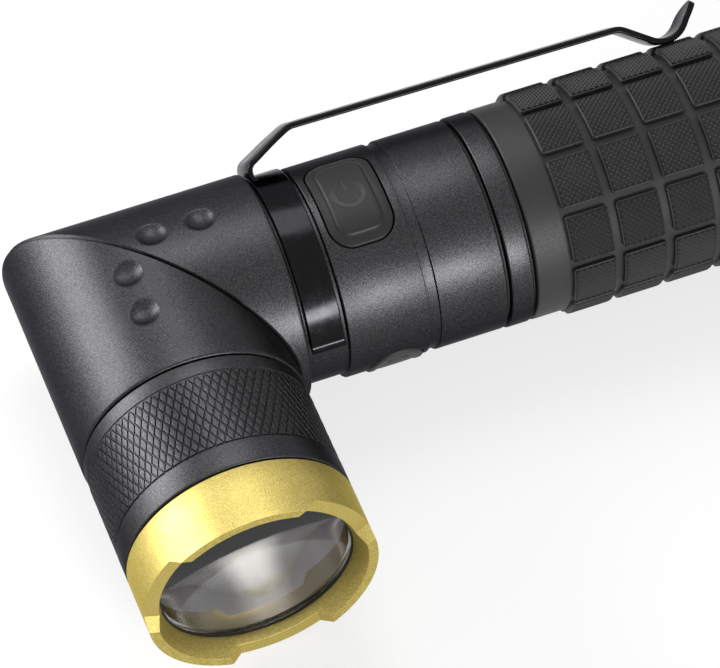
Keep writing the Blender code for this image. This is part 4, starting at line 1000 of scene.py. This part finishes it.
def bowl_reflector():
    """A polished parabola with a flange under the glass."""
    inside = []
    for step in range(61):
        station = 30.7 + (step / 60) ** 2 * 15.6
        inside.append((math.sqrt(3.9 ** 2 + 12.69 * (station - 30.7)), station))
    outside = [(radius + 0.8, station) for radius, station in reversed(inside)
               if station < 44.6]
    return turned([(15.4, 46.3), (15.4, 45.6), (15.0, 45.6), *outside, *inside])


def window_glass():
    """The lens: a raised face with a polished edge and a flat rim."""
    return turned([(0.0, 48.5), (14.8, 48.5), (14.93, 48.44), (14.98, 48.3), (14.98, 48.05),
                   (15.3, 48.0), (15.4, 47.9), (15.4, 46.65), (15.3, 46.5), (15.1, 46.4),
                   (0.0, 46.4)])


def emitter_base():
    """The ceramic square under the dome."""
    base = box((5.0, 5.0, 0.7), 0.35, 4)
    bmesh.ops.translate(base, vec=(0.0, 0.0, 30.25), verts=base.verts)
    return base


def emitter_dome():
    """The flat lens over the phosphor."""
    arc = [(2.15 * math.sin(math.radians(6.0 * step)),
            30.6 + 0.62 * math.cos(math.radians(6.0 * step))) for step in range(16)]
    return turned([*arc, (2.15, 30.55), (0.0, 30.55)], 96)


def tail_end():
    """The tail cap: a knurled skirt, a groove and a flat magnetic end."""
    profile = eased([
        (0.0, 137.15, 0.0), (17.0, 137.15, 0.4), (HEAD_RADIUS, 136.15, 0.4),
        (HEAD_RADIUS, 133.55, 0.15), (17.3, 133.55, 0.1), (17.3, 131.95, 0.1),
        (HEAD_RADIUS, 131.95, 0.15), (HEAD_RADIUS, 131.0, 0.0), (KNURL_FLOOR, 130.85, 0.0),
        (KNURL_FLOOR, 122.05, 0.0), (HEAD_RADIUS, 121.9, 0.0), (HEAD_RADIUS, 120.15, 0.3),
        (13.8, 120.15, 0.0), (13.8, 132.75, 0.0), (7.1, 132.75, 0.0), (7.1, 134.85, 0.0),
        (0.0, 134.85, 0.0)])
    return joined([turned(profile), knurl_band(122.2, 130.7, 3)])


def plain_ring(inner, outer, start, end, ease):
    """A ring with eased outer edges."""
    return turned(eased([(outer, end, ease), (outer, start, ease), (inner, start, 0.0),
                         (inner, end, 0.0)]))


# ------------------------------------------------------------------- finishes
HOUSING_BLACK = blasted_black("housing anodising", 0.036)
HEAD_BLACK = blasted_black("lamp head anodising", 0.038)
GOLD = satin_gold("bezel anodising")
CLIP_BLACK = spring_black("clip coating")
GRIP_RUBBER = rubber("grip rubber")
SEAL_RUBBER = rubber("seal rubber", 0.012, 0.55, 0.008)
FLAP_RUBBER = rubber("port flap rubber", 0.020, 0.60, 0.010)
KEY = key_plastic("key top", HANDLE @ Vector((HOUSING_RADIUS, 0.0, BUTTON_STATION)))
WINDOW = glass("window glass")
# The reflector's colour holds a painted reflection: a bright streak and painted dark shade
# beside it.
SILVER_AND_PAINTED_REFLECTIONS = mirror("reflector silvering and painted reflections")
BOARD = moulded("board lacquer", (0.02, 0.10, 0.05), 0.40)
CERAMIC = moulded("emitter ceramic", (0.80, 0.80, 0.76), 0.45)
PHOSPHOR = moulded("emitter phosphor", (0.86, 0.66, 0.10), 0.25)
ALUMINIUM = turned_metal("turned aluminium", (0.50, 0.50, 0.515), 0.36)
STEEL = turned_metal("turned steel", (0.50, 0.50, 0.52), 0.28)
BRASS = turned_metal("turned brass", (0.74, 0.56, 0.22), 0.28)
NICKEL = turned_metal("nickel plating", (0.66, 0.64, 0.60), 0.20)
WRAP = moulded("cell wrap", (0.05, 0.11, 0.30), 0.32)
LEAD = moulded("lead insulation", (0.46, 0.03, 0.02), 0.40)
SWITCH = moulded("switch body", (0.02, 0.02, 0.022), 0.45)

CARRIED = {
    "swivel_washer": BRASS, "swivel_seal": SEAL_RUBBER, "housing_seal": SEAL_RUBBER,
    "switch_board": BOARD, "tact_switch": SWITCH, "charge_port": NICKEL,
    "driver_board": BOARD, "contact_spring": NICKEL, "driver_lead": LEAD,
    "battery_tube": ALUMINIUM, "battery_cell": WRAP, "tail_seal": SEAL_RUBBER,
    "swivel_spindle": STEEL, "swivel_nut": STEEL, "head_seal": SEAL_RUBBER,
    "led_insulator": CERAMIC, "led_board": CERAMIC, "led_board_screw_1": STEEL,
    "led_board_screw_2": STEEL, "heat_sink": ALUMINIUM, "lamp_lead": LEAD,
    "tail_magnet": NICKEL, "tail_spring_seat": BRASS, "tail_spring": NICKEL,
}
for node, finish in CARRIED.items():
    for slot in frame["nodes"][node].material_slots:
        slot.link = 'OBJECT'
        slot.material = finish

# --------------------------------------------------------------------- pieces
piece("elbow_body_half", elbow_half(20.0, 0.40, True), HANDLE,
      HOUSING_BLACK, "handle", ["body_elbow_shell"])
head_half = elbow_half(21.5, 0.10, False)
# The lamp's half is the mirror image of the handle's: its seam faces the other way.
bmesh.ops.scale(head_half, vec=(1.0, -1.0, 1.0), verts=head_half.verts)
bmesh.ops.recalc_face_normals(head_half, faces=head_half.faces)
piece("elbow_lamp_half", head_half, HEAD, HOUSING_BLACK, "lamp_head",
      ["head_elbow_shell"])
piece("switch_sleeve", switch_sleeve(), HANDLE, HOUSING_BLACK, "handle",
      ["switch_housing"])
piece("power_key", power_key(), HANDLE, KEY, "button", ["button_key"])
piece("port_flap", port_flap(), HANDLE, FLAP_RUBBER, "port_cover",
      ["port_cover"])
piece("belt_clip", belt_clip(), HANDLE, CLIP_BLACK, "clip",
      ["pocket_clip"])
piece("front_line_seal", plain_ring(13.8, 15.9, 52.6, 53.0, 0.1), HANDLE, SEAL_RUBBER,
      "handle", ["ring_seal_front"])
piece("collar_ring", plain_ring(13.8, 16.9, 53.1, 56.7, 0.3), HANDLE, HOUSING_BLACK,
      "handle", ["lock_ring"])
piece("rear_line_seal", plain_ring(13.8, 15.9, 56.8, 57.2, 0.1), HANDLE, SEAL_RUBBER,
      "handle", ["ring_seal_rear"])
piece("waffle_grip", waffle_grip(), HANDLE, GRIP_RUBBER, "handle",
      ["rubber_grip"], sharp=34.0)
piece("lamp_barrel", lamp_barrel(), HEAD, HEAD_BLACK, "lamp_head",
      ["lamp_housing"])
piece("gold_bezel", strike_bezel(), HEAD, GOLD, "lamp_head",
      ["strike_bezel"], bevel=0.22, sharp=28.0, segments=3)
piece("window_glass", window_glass(), HEAD, WINDOW, "lamp_head",
      ["front_lens"])
piece("window_seal", plain_ring(15.02, 15.65, 48.1, 48.6, 0.08), HEAD, SEAL_RUBBER,
      "lamp_head", ["lens_seal"])
piece("bowl_reflector", bowl_reflector(), HEAD, SILVER_AND_PAINTED_REFLECTIONS, "lamp_head",
      ["reflector"])
piece("emitter_base", emitter_base(), HEAD, CERAMIC, "lamp_head",
      ["led_package"])
piece("emitter_dome", emitter_dome(), HEAD, PHOSPHOR, "lamp_head",
      ["led_package"])
piece("tail_end", tail_end(), HANDLE, HOUSING_BLACK, "tail_cap",
      ["tail_cap"])

# ---------------------------------------------------------------------- studio
WHITE = rgb(1.0, 1.0, 1.0)
WORLD_LEVEL = 0.35          # of the light that the white surroundings give
FLOOR_GLOW = 0.72           # how much of the floor is plain white to the camera
LAMP_AIM = Vector((10.0, -20.0, 0.0))


def studio_floor():
    """A pale floor that keeps the object's shadow."""
    work = bmesh.new()
    bmesh.ops.create_grid(work, x_segments=1, y_segments=1, size=2.0)
    floor = as_object(work, "studio_floor")
    finish = Finish("studio floor")
    seen = finish.seen_rays()
    paper = finish.node("BsdfDiffuse", None, {"Color": rgb(0.90, 0.90, 0.90)})
    white = finish.node("Emission", None, {"Color": WHITE, "Strength": 1.0})
    both = finish.node("MixShader", None, {0: seen * FLOOR_GLOW, 1: paper, 2: white})
    finish.node("OutputMaterial", None, {"Surface": both})
    floor.data.materials.append(finish.material)


def studio_world():
    """Dim surroundings that are white where they are seen."""
    world = bpy.data.worlds.new("studio")
    bpy.context.scene.world = world
    nodes = Nodes(world)
    seen = nodes.seen_rays()
    dim = nodes.node("Background", None, {"Color": WHITE, "Strength": WORLD_LEVEL})
    white = nodes.node("Background", None, {"Color": WHITE})
    both = nodes.node("MixShader", None, {0: seen, 1: dim, 2: white})
    nodes.node("OutputWorld", None, {"Surface": both})


def soft_lamp(name, place, size, watts):
    """A soft box at a place in millimetres from the elbow, turned to the part."""
    data = bpy.data.lights.new(name, 'AREA')
    data.shape = 'RECTANGLE'
    data.size, data.size_y = size[0] * 0.001, size[1] * 0.001
    data.energy = watts
    lamp = bpy.data.objects.new(name, data)
    bpy.context.scene.collection.objects.link(lamp)
    lamp.location = ELBOW + Vector(place) * 0.001
    away = Vector(place) - LAMP_AIM
    lamp.rotation_mode = 'QUATERNION'
    lamp.rotation_quaternion = away.to_track_quat('Z', 'Y')


studio_floor()
studio_world()
soft_lamp("left box", (-444.0, 330.0, 225.0), (340.0, 340.0), 5.2)
soft_lamp("top box", (90.0, 250.0, 540.0), (300.0, 300.0), 1.5)
soft_lamp("front box", (114.0, -576.0, 125.0), (260.0, 120.0), 3.6)

# The camera's axes to the right, up and back, as fitted to the object's outline.
RIGHT = Vector((0.93659504, -0.34925159, -0.02851419))
ABOVE = Vector((0.29621044, 0.74561886, 0.59691867))
BACK = Vector((-0.18721407, -0.56751726, 0.80179489))
PHOTO_STAND = RIGHT * 32.242 - ABOVE * 1.365 + BACK * 764.196
FOCAL_LENGTH = 250.47
lens = bpy.data.cameras.new("studio camera")
lens.sensor_fit = 'HORIZONTAL'
lens.sensor_width = 36.0
lens.lens = FOCAL_LENGTH
lens.clip_start = 0.05
lens.clip_end = 10.0
camera = bpy.data.objects.new("studio camera", lens)
bpy.context.scene.collection.objects.link(camera)
stand = Matrix((RIGHT, ABOVE, BACK)).transposed().to_4x4()
camera.matrix_world = Matrix.Translation(ELBOW + PHOTO_STAND * 0.001) @ stand
bpy.context.scene.camera = camera

bpy.context.scene.view_settings.view_transform = 'Standard'
